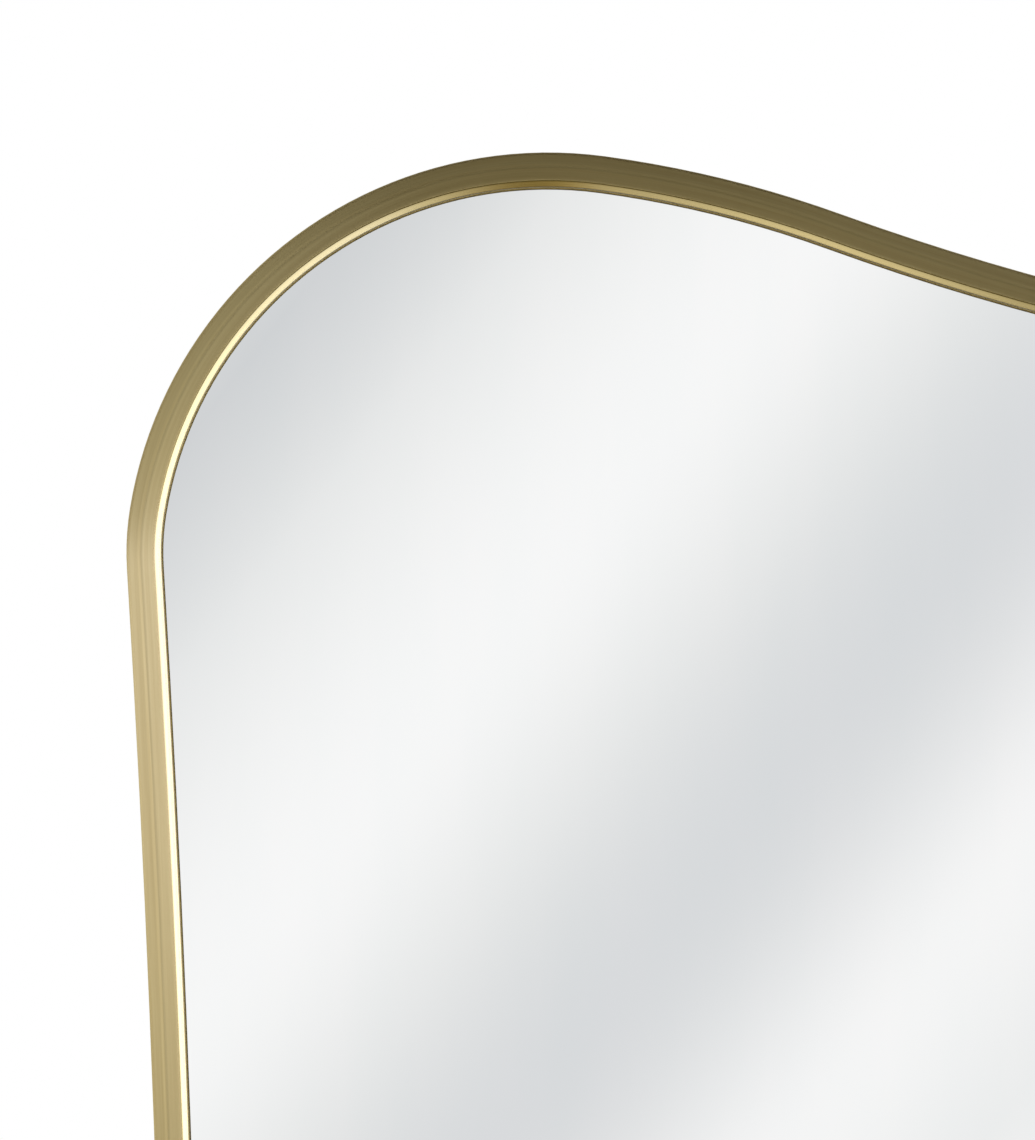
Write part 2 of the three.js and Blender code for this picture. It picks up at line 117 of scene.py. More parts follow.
WALL_GAP, FACE_LEVEL = levels("frame")
BOARD_BACK, BOARD_FRONT = levels("backing_board")
GLASS_BACK, GLASS_FRONT = levels("mirror_glass")
GASKET_BACK, GASKET_FRONT = levels("glazing_gasket")
SEAT_GAP = 0.25 * MM
LIP_END = GASKET_FRONT + SEAT_GAP
CLIP_THICKNESS = 1.2 * MM
CLIP_FRONT = BOARD_BACK - SEAT_GAP
CLIP_BACK = CLIP_FRONT - CLIP_THICKNESS
RIB_FRONT = CLIP_BACK - SEAT_GAP
RIB_BACK = RIB_FRONT - RIB_THICKNESS
print("face", round(FACE_LEVEL / MM, 2), "mm and glass", round(GLASS_FRONT / MM, 2), "mm off the wall")

# %% [markdown]
# ## Camera
# The photograph looks straight at the upper left corner of the mirror. One pixel of it covers
# 0.27 mm on the frame's face. With the leftmost and topmost pixel of the outline, that gives the point
# behind the middle of the picture. The lens follows from the distance.

# %% Camera
PHOTO_WIDTH, PHOTO_HEIGHT = 1035, 1140  # pixels
PIXEL = 0.27 * MM
LEFT_EDGE_PIXEL = 126
TOP_EDGE_PIXEL = 152
CAMERA_DISTANCE = 900 * MM  # from the frame's face
SENSOR = 36  # mm, the long side of the picture

aim = Vector((
    cad_low.x + (PHOTO_WIDTH / 2 - LEFT_EDGE_PIXEL) * PIXEL,
    cad_low.y,
    cad_high.z - (PHOTO_HEIGHT / 2 - TOP_EDGE_PIXEL) * PIXEL,
))
bpy.ops.object.camera_add(location=aim - Vector((0, CAMERA_DISTANCE, 0)), rotation=(math.pi / 2, 0, 0))
camera = bpy.context.object
camera.name = "photo_camera"
camera.data.sensor_width = SENSOR
camera.data.lens = SENSOR * CAMERA_DISTANCE / (PHOTO_HEIGHT * PIXEL)
bpy.context.scene.camera = camera
bpy.context.scene.view_settings.view_transform = "Standard"
print("camera aims at", [round(v, 4) for v in aim], "with a lens of", round(camera.data.lens, 1), "mm")

# %% [markdown]
# ## Helpers for materials
# A colour is chosen as an sRGB hex value, as a colour picker shows it, but shaders work with linear
# light, so one function turns the first into the second. Another one adds a node, sets it up and
# links it, and every material below is built with these two.

# %% Colours and nodes
def linear(hex_colour, alpha=1.0):
    """An sRGB hex value such as "c8b483" as linear RGBA."""
    parts = [int(hex_colour[i:i + 2], 16) / 255 for i in (0, 2, 4)]
    return (*[p / 12.92 if p <= 0.04045 else ((p + 0.055) / 1.055) ** 2.4 for p in parts], alpha)


def add_node(tree, kind, settings=None, inputs=None, stops=()):
    """Adds a node. An input takes a value, another node's output, or that node for its first output."""
    made = tree.nodes.new(kind)
    for name, value in (settings or {}).items():
        setattr(made, name, value)
    for name, value in (inputs or {}).items():
        if isinstance(value, bpy.types.Node):
            value = value.outputs[0]
        if isinstance(value, bpy.types.NodeSocket):
            tree.links.new(value, made.inputs[name])
        else:
            made.inputs[name].default_value = value
    for i, (position, colour) in enumerate(stops):
        ramp = made.color_ramp.elements
        stop = ramp[i] if i < len(ramp) else ramp.new(position)
        stop.position, stop.color = position, colour
    return made


def new_material(name):
    """A new material and its empty tree."""
    material = bpy.data.materials.new(name)
    material.use_nodes = True
    material.node_tree.nodes.clear()
    return material, material.node_tree


SMOOTH = {"interpolation_type": "SMOOTHSTEP"}  # a map range without kinks at its ends
COLOURS = {"data_type": "RGBA"}  # a mix of two colours: inputs 0, 6 and 7, output 2
TONE_LOW, TONE_HIGH = 0.3, 0.7  # between these values lies nearly all of a noise
print("mid grey, 808080, is", round(linear("808080")[0], 3), "in linear light")

# %% [markdown]
# ## Outline
# The outline is a ring of arcs that run into each other without a corner. Each lobe is a circle, and
# each hollow side is a wide arc that touches two of them from outside. The same few radii as in the
# drawing give every arc, so nothing is traced. A curve object with handles could draw it too, but
# arcs can be spun exactly.

# %% An arc of the outline
def direction(degrees):
    """Unit vector in the plane of the mirror: 0 degrees is +X and 90 is up."""
    angle = math.radians(degrees)
    return Vector((math.cos(angle), 0, math.sin(angle)))


class Arc:
    """A stretch of outline. Its radius is negative where the outline is hollow, and its angles are
    the directions of the outward normal at both ends."""

    def __init__(self, centre, radius, start=0.0, end=0.0):
        self.centre, self.radius, self.start, self.end = centre, radius, start, end

    def normal(self, share):
        return direction(self.start + (self.end - self.start) * share)

    def point(self, share, inset=0.0):
        return self.centre + self.normal(share) * (self.radius - inset)

    def length(self):
        return abs(self.radius * math.radians(self.end - self.start))


# %% How arcs meet
def hollow_between(first, second, radius):
    """The hollow arc that touches two lobes from outside."""
    along = second.centre - first.centre
    distance = along.length
    along.normalize()
    to_first, to_second = radius + first.radius, radius + second.radius
    foot = (distance ** 2 + to_first ** 2 - to_second ** 2) / (2 * distance)
    outwards = Vector((-along.z, 0, along.x))
    centre = first.centre + along * foot + outwards * math.sqrt(to_first ** 2 - foot ** 2)
    return Arc(centre, -radius)


def meeting_angle(arc, following):
    """The direction, in degrees, of the normal where an arc runs into the next one."""
    normal = (arc.centre - following.centre) / (following.radius - arc.radius)
    return math.degrees(math.atan2(normal.z, normal.x))


# %% The ring of arcs
def outline_arcs():
    """All arcs of the outline by name, clockwise as seen from the front."""
    main_radius, lead_radius = TOP_LEFT["radius"], TOP_LEFT["lead_radius"]
    lead_step = direction(TOP_LEFT["lead_angle"]) * (main_radius - lead_radius)
    main = Arc(Vector((cad_low.x + lead_radius - lead_step.x, 0, cad_high.z - main_radius)), main_radius)
    lead = Arc(main.centre + lead_step, lead_radius)
    shoulder_radius = TOP_LEFT["shoulder_radius"]
    shoulder_step = direction(TOP_LEFT["shoulder_angle"]) * (main_radius - shoulder_radius)
    shoulder = Arc(main.centre + shoulder_step, shoulder_radius)
    radius = TOP_RIGHT["radius"]
    upper_right = Arc(Vector((cad_high.x - TOP_RIGHT["from_right"] - radius, 0,
                              cad_high.z - TOP_RIGHT["from_top"] - radius)), radius)
    radius = BOTTOM_RIGHT["radius"]
    lower_right = Arc(Vector((cad_high.x - radius, 0, cad_low.z + radius)), radius)
    radius = BOTTOM_LEFT["radius"]
    lower_left = Arc(Vector((cad_low.x + BOTTOM_LEFT["from_left"] + radius, 0,
                             cad_low.z + BOTTOM_LEFT["from_bottom"] + radius)), radius)
    ring = {
        "bottom_hollow": hollow_between(lower_right, lower_left, HOLLOW_RADIUS["bottom"]),
        "lower_left": lower_left,
        "left_hollow": hollow_between(lower_left, lead, HOLLOW_RADIUS["left"]),
        "lead": lead,
        "main": main,
        "shoulder": shoulder,
        "top_hollow": hollow_between(shoulder, upper_right, HOLLOW_RADIUS["top"]),
        "upper_right": upper_right,
        "right_hollow": hollow_between(upper_right, lower_right, HOLLOW_RADIUS["right"]),
        "lower_right": lower_right,
    }
    arcs = list(ring.values())
    for i, arc in enumerate(arcs):
        arc.start = meeting_angle(arcs[i - 1], arc)
        turn = (meeting_angle(arc, arcs[(i + 1) % len(arcs)]) - arc.start) % 360
        arc.end = arc.start + (turn - 360 if arc.radius > 0 else turn)
    return ring


outline = outline_arcs()
print("outline:", len(outline), "arcs,", round(sum(a.length() for a in outline.values()), 3), "m round")

# %% The same ring, opened in the middle of its bottom
bottom = outline["bottom_hollow"]
seam = (bottom.start + bottom.end) / 2
round_trip = [
    Arc(bottom.centre, bottom.radius, seam, bottom.end),
    *[arc for name, arc in outline.items() if name != "bottom_hollow"],
    Arc(bottom.centre, bottom.radius, bottom.start, seam),
]
print("the ends of the frame meet at", round(seam, 1), "degrees")

# %% [markdown]
# ## Drawing and spinning
# By hand, such a frame is made by drawing its section once with extruded vertices and spinning it
# round the centre of one arc after another. `draw` makes the section, or any other chain of points,
# and `spin_along` takes what is selected round the outline.

# %% Picking and editing one piece
def deselect():
    bpy.ops.object.select_all(action="DESELECT")


def pick(piece):
    """Selects one piece alone and makes it the active one."""
    deselect()
    piece.select_set(True)
    bpy.context.view_layer.objects.active = piece


def edit(piece):
    pick(piece)
    bpy.ops.object.mode_set(mode="EDIT")


def leave_edit():
    bpy.ops.object.mode_set(mode="OBJECT")


def keep_place():
    """Writes the place, turn and size of what is selected into its mesh."""
    bpy.ops.object.transform_apply(location=True, rotation=True, scale=True)


def select_all():
    bpy.ops.mesh.select_all(action="SELECT")


def select(kind, test):
    """In edit mode: selects the vertices, edges or faces that pass a test, and says how many."""
    mesh_data = bpy.context.edit_object.data
    bpy.ops.mesh.select_mode(type=kind)
    bpy.ops.mesh.select_all(action="DESELECT")
    mesh = bmesh.from_edit_mesh(mesh_data)
    parts = {"VERT": mesh.verts, "EDGE": mesh.edges, "FACE": mesh.faces}[kind]
    chosen = [part for part in parts if test(part)]
    for part in chosen:
        part.select_set(True)
    mesh.select_flush_mode()
    bmesh.update_edit_mesh(mesh_data)
    return len(chosen)


# %% Drawing a section
def draw(name, points, closed=False):
    """A chain of vertices through the points, left selected in edit mode."""
    deselect()
    bpy.ops.mesh.primitive_plane_add(size=MM, location=points[0])
    piece = bpy.context.object
    piece.name = piece.data.name = name
    keep_place()
    bpy.ops.object.mode_set(mode="EDIT")
    bpy.ops.mesh.select_mode(type="VERT")
    select_all()
    bpy.ops.mesh.merge(type="CENTER")
    for here, there in zip(points, points[1:]):
        bpy.ops.mesh.extrude_region_move(TRANSFORM_OT_translate={"value": Vector(there) - Vector(here)})
    if closed:
        select("VERT", lambda vertex: len(vertex.link_edges) == 1)
        bpy.ops.mesh.edge_face_add()
    select_all()
    return piece


TOUCHING = 0.01 * MM  # points closer than this count as one place


def round_corner(corner, setback, segments):
    """In edit mode: rounds one corner of a drawn section."""
    select("VERT", lambda vertex: (vertex.co - corner).length < TOUCHING)
    bpy.ops.mesh.bevel(offset=setback, offset_type="OFFSET", segments=segments, affect="VERTICES")


def at_section(inset, level, turn=seam, arc=bottom):
    """A point of a section: its inset from the outline and its level above the wall."""
    point = arc.centre + direction(turn) * (arc.radius - inset)
    return Vector((point.x, -level, point.z))


# %% Spinning it along the outline
CHORD_ERROR = 0.02 * MM  # how far a facet may leave its arc
SEAM_DOUBLES = 0.002 * MM  # vertices this close are merged


def spin_along(arcs):
    """In edit mode: spins what is selected round each arc in turn."""
    for arc in arcs:
        turn = math.radians(arc.end - arc.start)
        largest = 2 * math.acos(1 - CHORD_ERROR / abs(arc.radius))
        steps = max(1, math.ceil(abs(turn) / largest))
        bpy.ops.mesh.spin(steps=steps, angle=turn, center=arc.centre, axis=(0, 1, 0))


def merge_and_face_outwards(distance=SEAM_DOUBLES):
    """In edit mode: closes seams and turns all faces outwards."""
    bpy.ops.mesh.select_mode(type="VERT")
    select_all()
    bpy.ops.mesh.remove_doubles(threshold=distance)
    bpy.ops.mesh.normals_make_consistent(inside=False)


# %% Finishing a piece
SMOOTH_BELOW = 32  # degrees: steeper edges stay sharp


def shade(piece):
    pick(piece)
    bpy.ops.object.shade_smooth_by_angle(angle=math.radians(SMOOTH_BELOW))


def cover(piece, *materials):
    """Gives a piece these materials and no others."""
    piece.data.materials.clear()
    for material in materials:
        piece.data.materials.append(material)


def done(piece, node, slot, *materials, body="mirror_body"):
    """A finished piece: smooth, in its materials if it isn't yet, on its body, in place of its node."""
    shade(piece)
    if materials:
        cover(piece, *materials)
    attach(piece, body)
    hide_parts(node)


# %% [markdown]
# ## Brushed, brass-coloured aluminium
# The frame is aluminium extrusion, brushed along its length and anodised to a pale brass colour.
# Brushing leaves fine parallel lines. Light is spread wide across them and hardly at all along them,
# which is why such a face looks bright where its lines stand upright and dark where they lie level,
# in the same light. So the gloss is anisotropic. Its tangent comes from the frame's own UV map, whose
# U runs across the lines. The lines are also a faint bump and a faint change of tone. Real ones
# are 0.05 to 0.2 mm apart. Here they are 0.3 mm apart, because finer ones would not show.
#
# Along the ridge and the inner edge of the face, the colour is painted paler, as a painted highlight, and
# just inside the ridge it is painted a little darker, as a painted shade.

# %% Brushed brass-coloured aluminium
BRASS_DEEP, BRASS_PALE = linear("c4b079"), linear("d2c18b")
LINES_APART, LINE_LENGTH = 0.3 * MM, 45 * MM
STREAK_WIDTH, STREAK_LENGTH = 1.6 * MM, 160 * MM
LENGTHWISE = "lengthwise"  # the UV map: U across the face, V along the frame, both in metres
# Painted highlight (above 1) and painted shade (below 1) on the colour, from the outer edge of the face at
# 0 to its inner edge at 1.
PAINTED_HIGHLIGHT_AND_SHADE = ((0, 1.0), (0.38, 1.0), (0.43, 1.1), (0.47, 1.1), (0.52, 0.86), (0.55, 0.88), (0.6, 1.0),
          (0.88, 1.0), (0.97, 1.12))


def brushed_brass():
    material, tree = new_material("brushed_brass_anodised_aluminium")
    place = add_node(tree, "ShaderNodeUVMap", {"uv_map": LENGTHWISE})
    stretched = add_node(tree, "ShaderNodeMapping", inputs={
        "Vector": place, "Scale": (1 / LINES_APART, 1 / LINE_LENGTH, 1)})
    lines = add_node(tree, "ShaderNodeTexNoise", inputs={
        "Vector": stretched, "Scale": 1, "Detail": 3, "Roughness": 0.65})
    wide = add_node(tree, "ShaderNodeMapping", inputs={
        "Vector": place, "Scale": (1 / STREAK_WIDTH, 1 / STREAK_LENGTH, 1)})
    streaks = add_node(tree, "ShaderNodeTexNoise", inputs={"Vector": wide, "Scale": 1, "Detail": 2})
    tone = add_node(tree, "ShaderNodeMix", {"data_type": "FLOAT"}, {
        "Factor": 0.45, "A": lines, "B": streaks})
    brushed = add_node(tree, "ShaderNodeValToRGB", inputs={"Fac": tone},
                       stops=((TONE_LOW, BRASS_DEEP), (TONE_HIGH, BRASS_PALE)))
    axes = add_node(tree, "ShaderNodeSeparateXYZ", inputs={0: place})
    across = add_node(tree, "ShaderNodeMapRange", inputs={
        "Value": axes.outputs["X"], "From Min": -FACE_LEVEL, "From Max": FACE_WIDTH - FACE_LEVEL})
    # The colour is multiplied by a painted highlight along the ridge and the inner edge, and by a painted
    # shade just inside the ridge.
    rubbed = add_node(tree, "ShaderNodeValToRGB", inputs={"Fac": across},
                      stops=[(position, (rub, rub, rub, 1)) for position, rub in PAINTED_HIGHLIGHT_AND_SHADE])
    colour = add_node(tree, "ShaderNodeVectorMath", {"operation": "MULTIPLY"}, {
        0: brushed, 1: rubbed})
    rough = add_node(tree, "ShaderNodeMapRange", inputs={
        "Value": tone, "From Min": TONE_LOW, "From Max": TONE_HIGH, "To Min": 0.44, "To Max": 0.38})
    bump = add_node(tree, "ShaderNodeBump", inputs={
        "Height": lines, "Strength": 0.35, "Distance": 0.006 * MM})
    tangent = add_node(tree, "ShaderNodeTangent", {"direction_type": "UV_MAP", "uv_map": LENGTHWISE})
    shader = add_node(tree, "ShaderNodeBsdfPrincipled", inputs={
        "Metallic": 1.0, "Anisotropic": 0.97, "Base Color": colour,
        "Roughness": rough, "Normal": bump, "Tangent": tangent})
    add_node(tree, "ShaderNodeOutputMaterial", inputs={"Surface": shader})
    return material


brass = brushed_brass()
print("made", brass.name)

# %% [markdown]
# ## Bright-cut chamfer
# The chamfer towards the glass is cut after the brushing, with a polished cutter, and anodised with
# the rest. So it is the same metal, but smooth: it mirrors the room softly, white where a lamp
# stands and dark gold elsewhere. Only the faint feed lines of the cutter run along it.

# %% Bright-cut brass-coloured aluminium
def bright_cut_brass():
    material, tree = new_material("bright_cut_brass_anodised_aluminium")
    place = add_node(tree, "ShaderNodeUVMap", {"uv_map": LENGTHWISE})
    stretched = add_node(tree, "ShaderNodeMapping", inputs={
        "Vector": place, "Scale": (1 / LINES_APART, 1 / STREAK_LENGTH, 1)})
    feed = add_node(tree, "ShaderNodeTexNoise", inputs={"Vector": stretched, "Scale": 1, "Detail": 2})
    colour = add_node(tree, "ShaderNodeValToRGB", inputs={"Fac": feed},
                      stops=((TONE_LOW, BRASS_DEEP), (TONE_HIGH, BRASS_PALE)))
    rough = add_node(tree, "ShaderNodeMapRange", inputs={
        "Value": feed, "From Min": TONE_LOW, "From Max": TONE_HIGH,
        "To Min": 0.15, "To Max": 0.22})
    bump = add_node(tree, "ShaderNodeBump", inputs={
        "Height": feed, "Strength": 0.15, "Distance": 0.004 * MM})
    shader = add_node(tree, "ShaderNodeBsdfPrincipled", inputs={
        "Metallic": 1.0, "Base Color": colour, "Roughness": rough, "Normal": bump})
    add_node(tree, "ShaderNodeOutputMaterial", inputs={"Surface": shader})
    return material


bright_cut = bright_cut_brass()
print("made", bright_cut.name)

# %% [markdown]
# ## Frame
# The section has a face that rises a little to a fine ridge, a rounded outer edge and a bright
# 45-degree chamfer towards the glass. Behind them are a web, a foot that the glass seats against, and a
# rib near the wall that the clips hook under. It is filled before it is spun, so that the two ends
# are closed and a hairline stays open between them, as on the real butt joint.

# %% Section of the frame
RIDGE_HALF_WIDTH, RIDGE_DROP = 0.3 * MM, 0.05 * MM
REAR_ROUND = 0.2 * MM


def frame_section():
    """Corners as (inset, level, setback of the rounding)."""
    crown_foot = FACE_LEVEL - CROWN_HEIGHT
    lip_inner = SIGHT_EDGE - LIP_WALL
    middle = FACE_WIDTH / 2
    inner = WALL_THICKNESS
    return [
        (0, WALL_GAP, REAR_ROUND),
        (inner, WALL_GAP, REAR_ROUND),
        (inner, RIB_BACK, 0),
        (inner + RIB_REACH, RIB_BACK, REAR_ROUND),
        (inner + RIB_REACH, RIB_FRONT, REAR_ROUND),
        (inner, RIB_FRONT, 0),
        (inner, FACE_LEVEL - WEB_THICKNESS, 0),
        (lip_inner, FACE_LEVEL - WEB_THICKNESS, 0),
        (lip_inner, LIP_END + LIP_FOOT_THICKNESS, 0),
        (SIGHT_EDGE - LIP_FOOT_WIDTH, LIP_END + LIP_FOOT_THICKNESS, 0),
        (SIGHT_EDGE - LIP_FOOT_WIDTH, LIP_END, 0),
        (SIGHT_EDGE - LIP_UNDERCUT, LIP_END, 0),
        (SIGHT_EDGE - LIP_UNDERCUT, crown_foot - LIP_CHAMFER - LIP_EDGE, 0),
        (SIGHT_EDGE, crown_foot - LIP_CHAMFER - LIP_EDGE, 0),
        (SIGHT_EDGE, crown_foot - LIP_CHAMFER, ARRIS_ROUND),
        (FACE_WIDTH, crown_foot, ARRIS_ROUND),
        (middle + RIDGE_HALF_WIDTH, FACE_LEVEL - RIDGE_DROP, 0),
        (middle, FACE_LEVEL, 0),
        (middle - RIDGE_HALF_WIDTH, FACE_LEVEL - RIDGE_DROP, 0),
        (0, crown_foot, EDGE_ROUND),
    ]


# %% Spin the frame
ROUNDING_STEP = 0.08 * MM  # about one segment of a rounding for each of these
half_gap = math.degrees(JOINT_GAP / 2 / bottom.radius)
first, last = round_trip[0], round_trip[-1]
frame_trip = [
    Arc(first.centre, first.radius, first.start - half_gap, first.end),
    *round_trip[1:-1],
    Arc(last.centre, last.radius, last.start, last.end + half_gap),
]
section = frame_section()
print("section:", len(section), "corners")
begin = frame_trip[0].start
corners = [at_section(inset, level, begin) for inset, level, _ in section]
bent_frame = draw("bent_frame", corners, closed=True)
for corner, (_, _, setback) in zip(corners, section):
    if setback:
        round_corner(corner, setback, max(2, round(setback / ROUNDING_STEP)))
select_all()
bpy.ops.mesh.edge_face_add()
spin_along(frame_trip)
merge_and_face_outwards()
leave_edit()
print("frame:", len(bent_frame.data.vertices), "vertices,", len(bent_frame.data.polygons), "faces")


# %% [markdown]
# ## UV map of the frame
# An unwrap would cut the frame into islands and turn them every way. The arcs are known, so each
# corner of each face is simply given its distance along the outline as V, and its place in the
# section as U.

# %% Where a point lies on an arc
def share_on(arc, point):
    """How far along the arc a point lies, from 0 at its start to 1 at its end."""
    offset = (point - arc.centre) * (1 if arc.radius > 0 else -1)
    angle = math.degrees(math.atan2(offset.z, offset.x))
    middle = (arc.start + arc.end) / 2
    angle = middle + (angle - middle + 180) % 360 - 180
    return (angle - arc.start) / (arc.end - arc.start)


def inset_on(arc, point):
    """How far inside the outline a point lies."""
    reach = Vector((point.x - arc.centre.x, point.z - arc.centre.z)).length
    return (abs(arc.radius) - reach) * (1 if arc.radius > 0 else -1)


# %% Lay the lengthwise UV map
SHARE_SLACK = 1e-4  # lets a face at the very end of an arc still count as on it


def lay_lengthwise(piece):
    """U across the section, V along the outline, in metres. The chamfer gets the second material."""
    starts = []
    reached = 0.0
    for arc in frame_trip:
        starts.append(reached)
        reached += arc.length()
    edit(piece)
    mesh = bmesh.from_edit_mesh(piece.data)
    uv = mesh.loops.layers.uv.new(LENGTHWISE)
    for face in mesh.faces:
        centre = face.calc_center_median()
        beside = [i for i, arc in enumerate(frame_trip)
                  if -SHARE_SLACK < share_on(arc, centre) < 1 + SHARE_SLACK]
        home = min(beside, key=lambda i: abs(inset_on(frame_trip[i], centre)))
        arc = frame_trip[home]
        for loop in face.loops:
            along = starts[home] + arc.length() * share_on(arc, loop.vert.co)
            loop[uv].uv = (inset_on(arc, loop.vert.co) + loop.vert.co.y, along)
        is_cut = inset_on(arc, centre) > FACE_WIDTH - ARRIS_ROUND and -centre.y > LIP_END
        face.material_index = 1 if is_cut else 0
    bmesh.update_edit_mesh(piece.data)
    leave_edit()
    return reached


cover(bent_frame, brass, bright_cut)
print("brushed lines run over", round(lay_lengthwise(bent_frame), 3), "m")
done(bent_frame, "frame", "brushed_brass")

# %% [markdown]
# ## Silvered glass
# The pane is 4 mm float glass, silvered behind. Its front reflects everything sharply, so it has no
# colour of its own beyond the faint coolness of silver seen through glass. It is shown as bright,
# smooth metal under a clear coat, which stands for the glass. The only texture is the finest haze
# of wiping marks, long and slanting as a hand wipes.

# %% Silvered float glass
def silvered_glass():
    material, tree = new_material("silvered_float_glass")
    place = add_node(tree, "ShaderNodeTexCoord")
    wiped = add_node(tree, "ShaderNodeMapping", inputs={
        "Vector": place.outputs["Object"], "Rotation": (0, math.radians(38), 0), "Scale": (60, 1, 9)})
    haze = add_node(tree, "ShaderNodeTexNoise", inputs={"Vector": wiped, "Scale": 1, "Detail": 3})
    rough = add_node(tree, "ShaderNodeMapRange", inputs={
        "Value": haze, "From Min": TONE_LOW, "From Max": TONE_HIGH, "To Min": 0.0, "To Max": 0.012})
    colour = add_node(tree, "ShaderNodeValToRGB", inputs={"Fac": haze},
                      stops=((TONE_LOW, linear("f9fafa")), (TONE_HIGH, linear("fbfbfb"))))
    shader = add_node(tree, "ShaderNodeBsdfPrincipled", inputs={
        "Metallic": 1.0, "Base Color": colour, "Roughness": rough,
        "Coat Weight": 0.3, "Coat Roughness": 0.0, "Coat IOR": 1.5})
    add_node(tree, "ShaderNodeOutputMaterial", inputs={"Surface": shader})
    return material


glass_front = silvered_glass()
print("made", glass_front.name)

# %% [markdown]
# ## Matt, grainy surfaces
# Some surfaces have one even grain that shows in their tone and in their relief: the ground edge of
# the glass, the paint behind it and the sawn edge of the board. One function makes all three, from
# two tones, the size of the grain and the height of its relief, each as on the real surface.

# %% A surface with a grain
def grained(name, tones, grain, detail, relief, strength, roughness, ior=1.5, breakup=0.5,
            squeeze=(1, 1, 1)):
    """Squeeze packs the grain closer along an axis, and breakup gives it finer, rougher parts."""
    material, tree = new_material(name)
    place = add_node(tree, "ShaderNodeTexCoord")
    squeezed = add_node(tree, "ShaderNodeMapping", inputs={
        "Vector": place.outputs["Object"], "Scale": squeeze})
    grains = add_node(tree, "ShaderNodeTexNoise", inputs={
        "Vector": squeezed, "Scale": 1 / grain, "Detail": detail, "Roughness": breakup})
    colour = add_node(tree, "ShaderNodeValToRGB", inputs={"Fac": grains},
                      stops=((TONE_LOW, linear(tones[0])), (TONE_HIGH, linear(tones[1]))))
    bump = add_node(tree, "ShaderNodeBump", inputs={
        "Height": grains, "Strength": strength, "Distance": relief})
    shader = add_node(tree, "ShaderNodeBsdfPrincipled", inputs={
        "Base Color": colour, "Roughness": roughness, "IOR": ior, "Normal": bump})
    add_node(tree, "ShaderNodeOutputMaterial", inputs={"Surface": shader})
    return material


# Float glass, ground with a stone: pale green and frosted, since its cut scatters the light.
glass_edge = grained("ground_glass_edge", ("8fb5a4", "b4d1c3"), grain=0.4 * MM, detail=2,
                     relief=0.03 * MM, strength=0.4, roughness=0.55, ior=1.52)
# Poured paint that seals the silver: mid grey, half matt, with slow waves.
glass_back = grained("mirror_backing_paint", ("6d7377", "7a8084"), grain=14 * MM, detail=3,
                     relief=0.1 * MM, strength=0.2, roughness=0.5)
print("made", glass_edge.name, "and", glass_back.name)

# %% [markdown]
# ## Pane
# One vertex is spun round the outline, at the inset of the pane. That gives its edge, which is
# filled, extruded to 4 mm and bevelled by half a millimetre, the way a pane is seamed so that it does
# not cut. The front has to stay perfectly flat, or its reflections would bend.

# %% A flat plate within the outline
GROUND_ANGLE = 60  # degrees: only edges steeper than this are chamfered
FLAT = 0.99  # a normal's share along an axis, above which a face looks that way


def bevel_edges(width, segments=1):
    """In edit mode: bevels the edges that are selected."""
    bpy.ops.mesh.bevel(offset=width, offset_type="OFFSET", segments=segments, affect="EDGES")


def plate(name, inset, back, front, edge):
    """A flat plate within the outline, with its edge chamfered."""
    piece = draw(name, [at_section(inset, back)])
    spin_along(round_trip)
    select_all()
    bpy.ops.mesh.remove_doubles(threshold=SEAM_DOUBLES)
    bpy.ops.mesh.edge_face_add()
    bpy.ops.mesh.extrude_region_move(TRANSFORM_OT_translate={"value": (0, back - front, 0)})
    merge_and_face_outwards()
    select("EDGE", lambda e: len(e.link_faces) == 2
           and abs(e.calc_face_angle()) > math.radians(GROUND_ANGLE))
    bevel_edges(edge)
    leave_edit()
    return piece


# %% Cut the pane
SEAM_GROUND = 0.5 * MM
pane = plate("silvered_pane", PANE_INSET, GLASS_BACK, GLASS_FRONT, SEAM_GROUND)
cover(pane, glass_front, glass_edge, glass_back)
for face in pane.data.polygons:
    face.material_index = 0 if face.normal.y < -FLAT else 2 if face.normal.y > FLAT else 1
done(pane, "mirror_glass", "silvered_glass")
print("pane:", [round(v / MM, 1) for v in pane.dimensions], "mm")

# %% [markdown]
# ## Light
# A mirror and a brushed frame show the room more than their own colour, so the room is the main
# thing here. It is a soft studio, written as light by direction, where 1 is white. In front, at eye
# height, runs a belt of pale fabric with slanting folds of light and shade, which is what the glass
# shows. It is brightest at both sides, where the frame's upright lines look, and less so lower
# down. Above and below the belt the studio is dark and warm, which is what the level lines look at.
# A ring of screens stands round the mirror close to the wall: the chamfer looks at those.
# Behind the mirror all is plain and light. Camera rays see white. Real softboxes would do the same,
# but they would stand in other views.

# %% Folds of the fabric, which the glass shows
BAND_ANGLE = 52  # degrees above the horizontal: how the light and dark bands lean
BAND_CENTRE_PIXEL = 758.7  # the picture's middle, measured across the bands
# Tones by pixel of the picture, measured across the bands.
TONES = ((420, "d4d6d8"), (560, "ebecec"), (780, "fbfbfb"), (940, "ebecec"), (1080, "dcdee0"),
         (1190, "e6e7e8"), (1310, "f9f9f9"), (1460, "f0f1f1"))


def band_place(pixel):
    """Across the bands: the sine of the direction that this pixel of the glass reflects."""
    return (pixel - BAND_CENTRE_PIXEL) * PIXEL / CAMERA_DISTANCE


BANDS_START, BANDS_END = band_place(TONES[0][0]), band_place(TONES[-1][0])
print("bands run from", round(BANDS_START, 3), "to", round(BANDS_END, 3))

# %% Directions in the studio
world = bpy.data.worlds.new("soft_studio")
world.use_nodes = True
bpy.context.scene.world = world
studio = world.node_tree
studio.nodes.clear()
place = add_node(studio, "ShaderNodeTexCoord")
axes = add_node(studio, "ShaderNodeSeparateXYZ", inputs={0: place.outputs["Generated"]})
right, back, up = axes.outputs

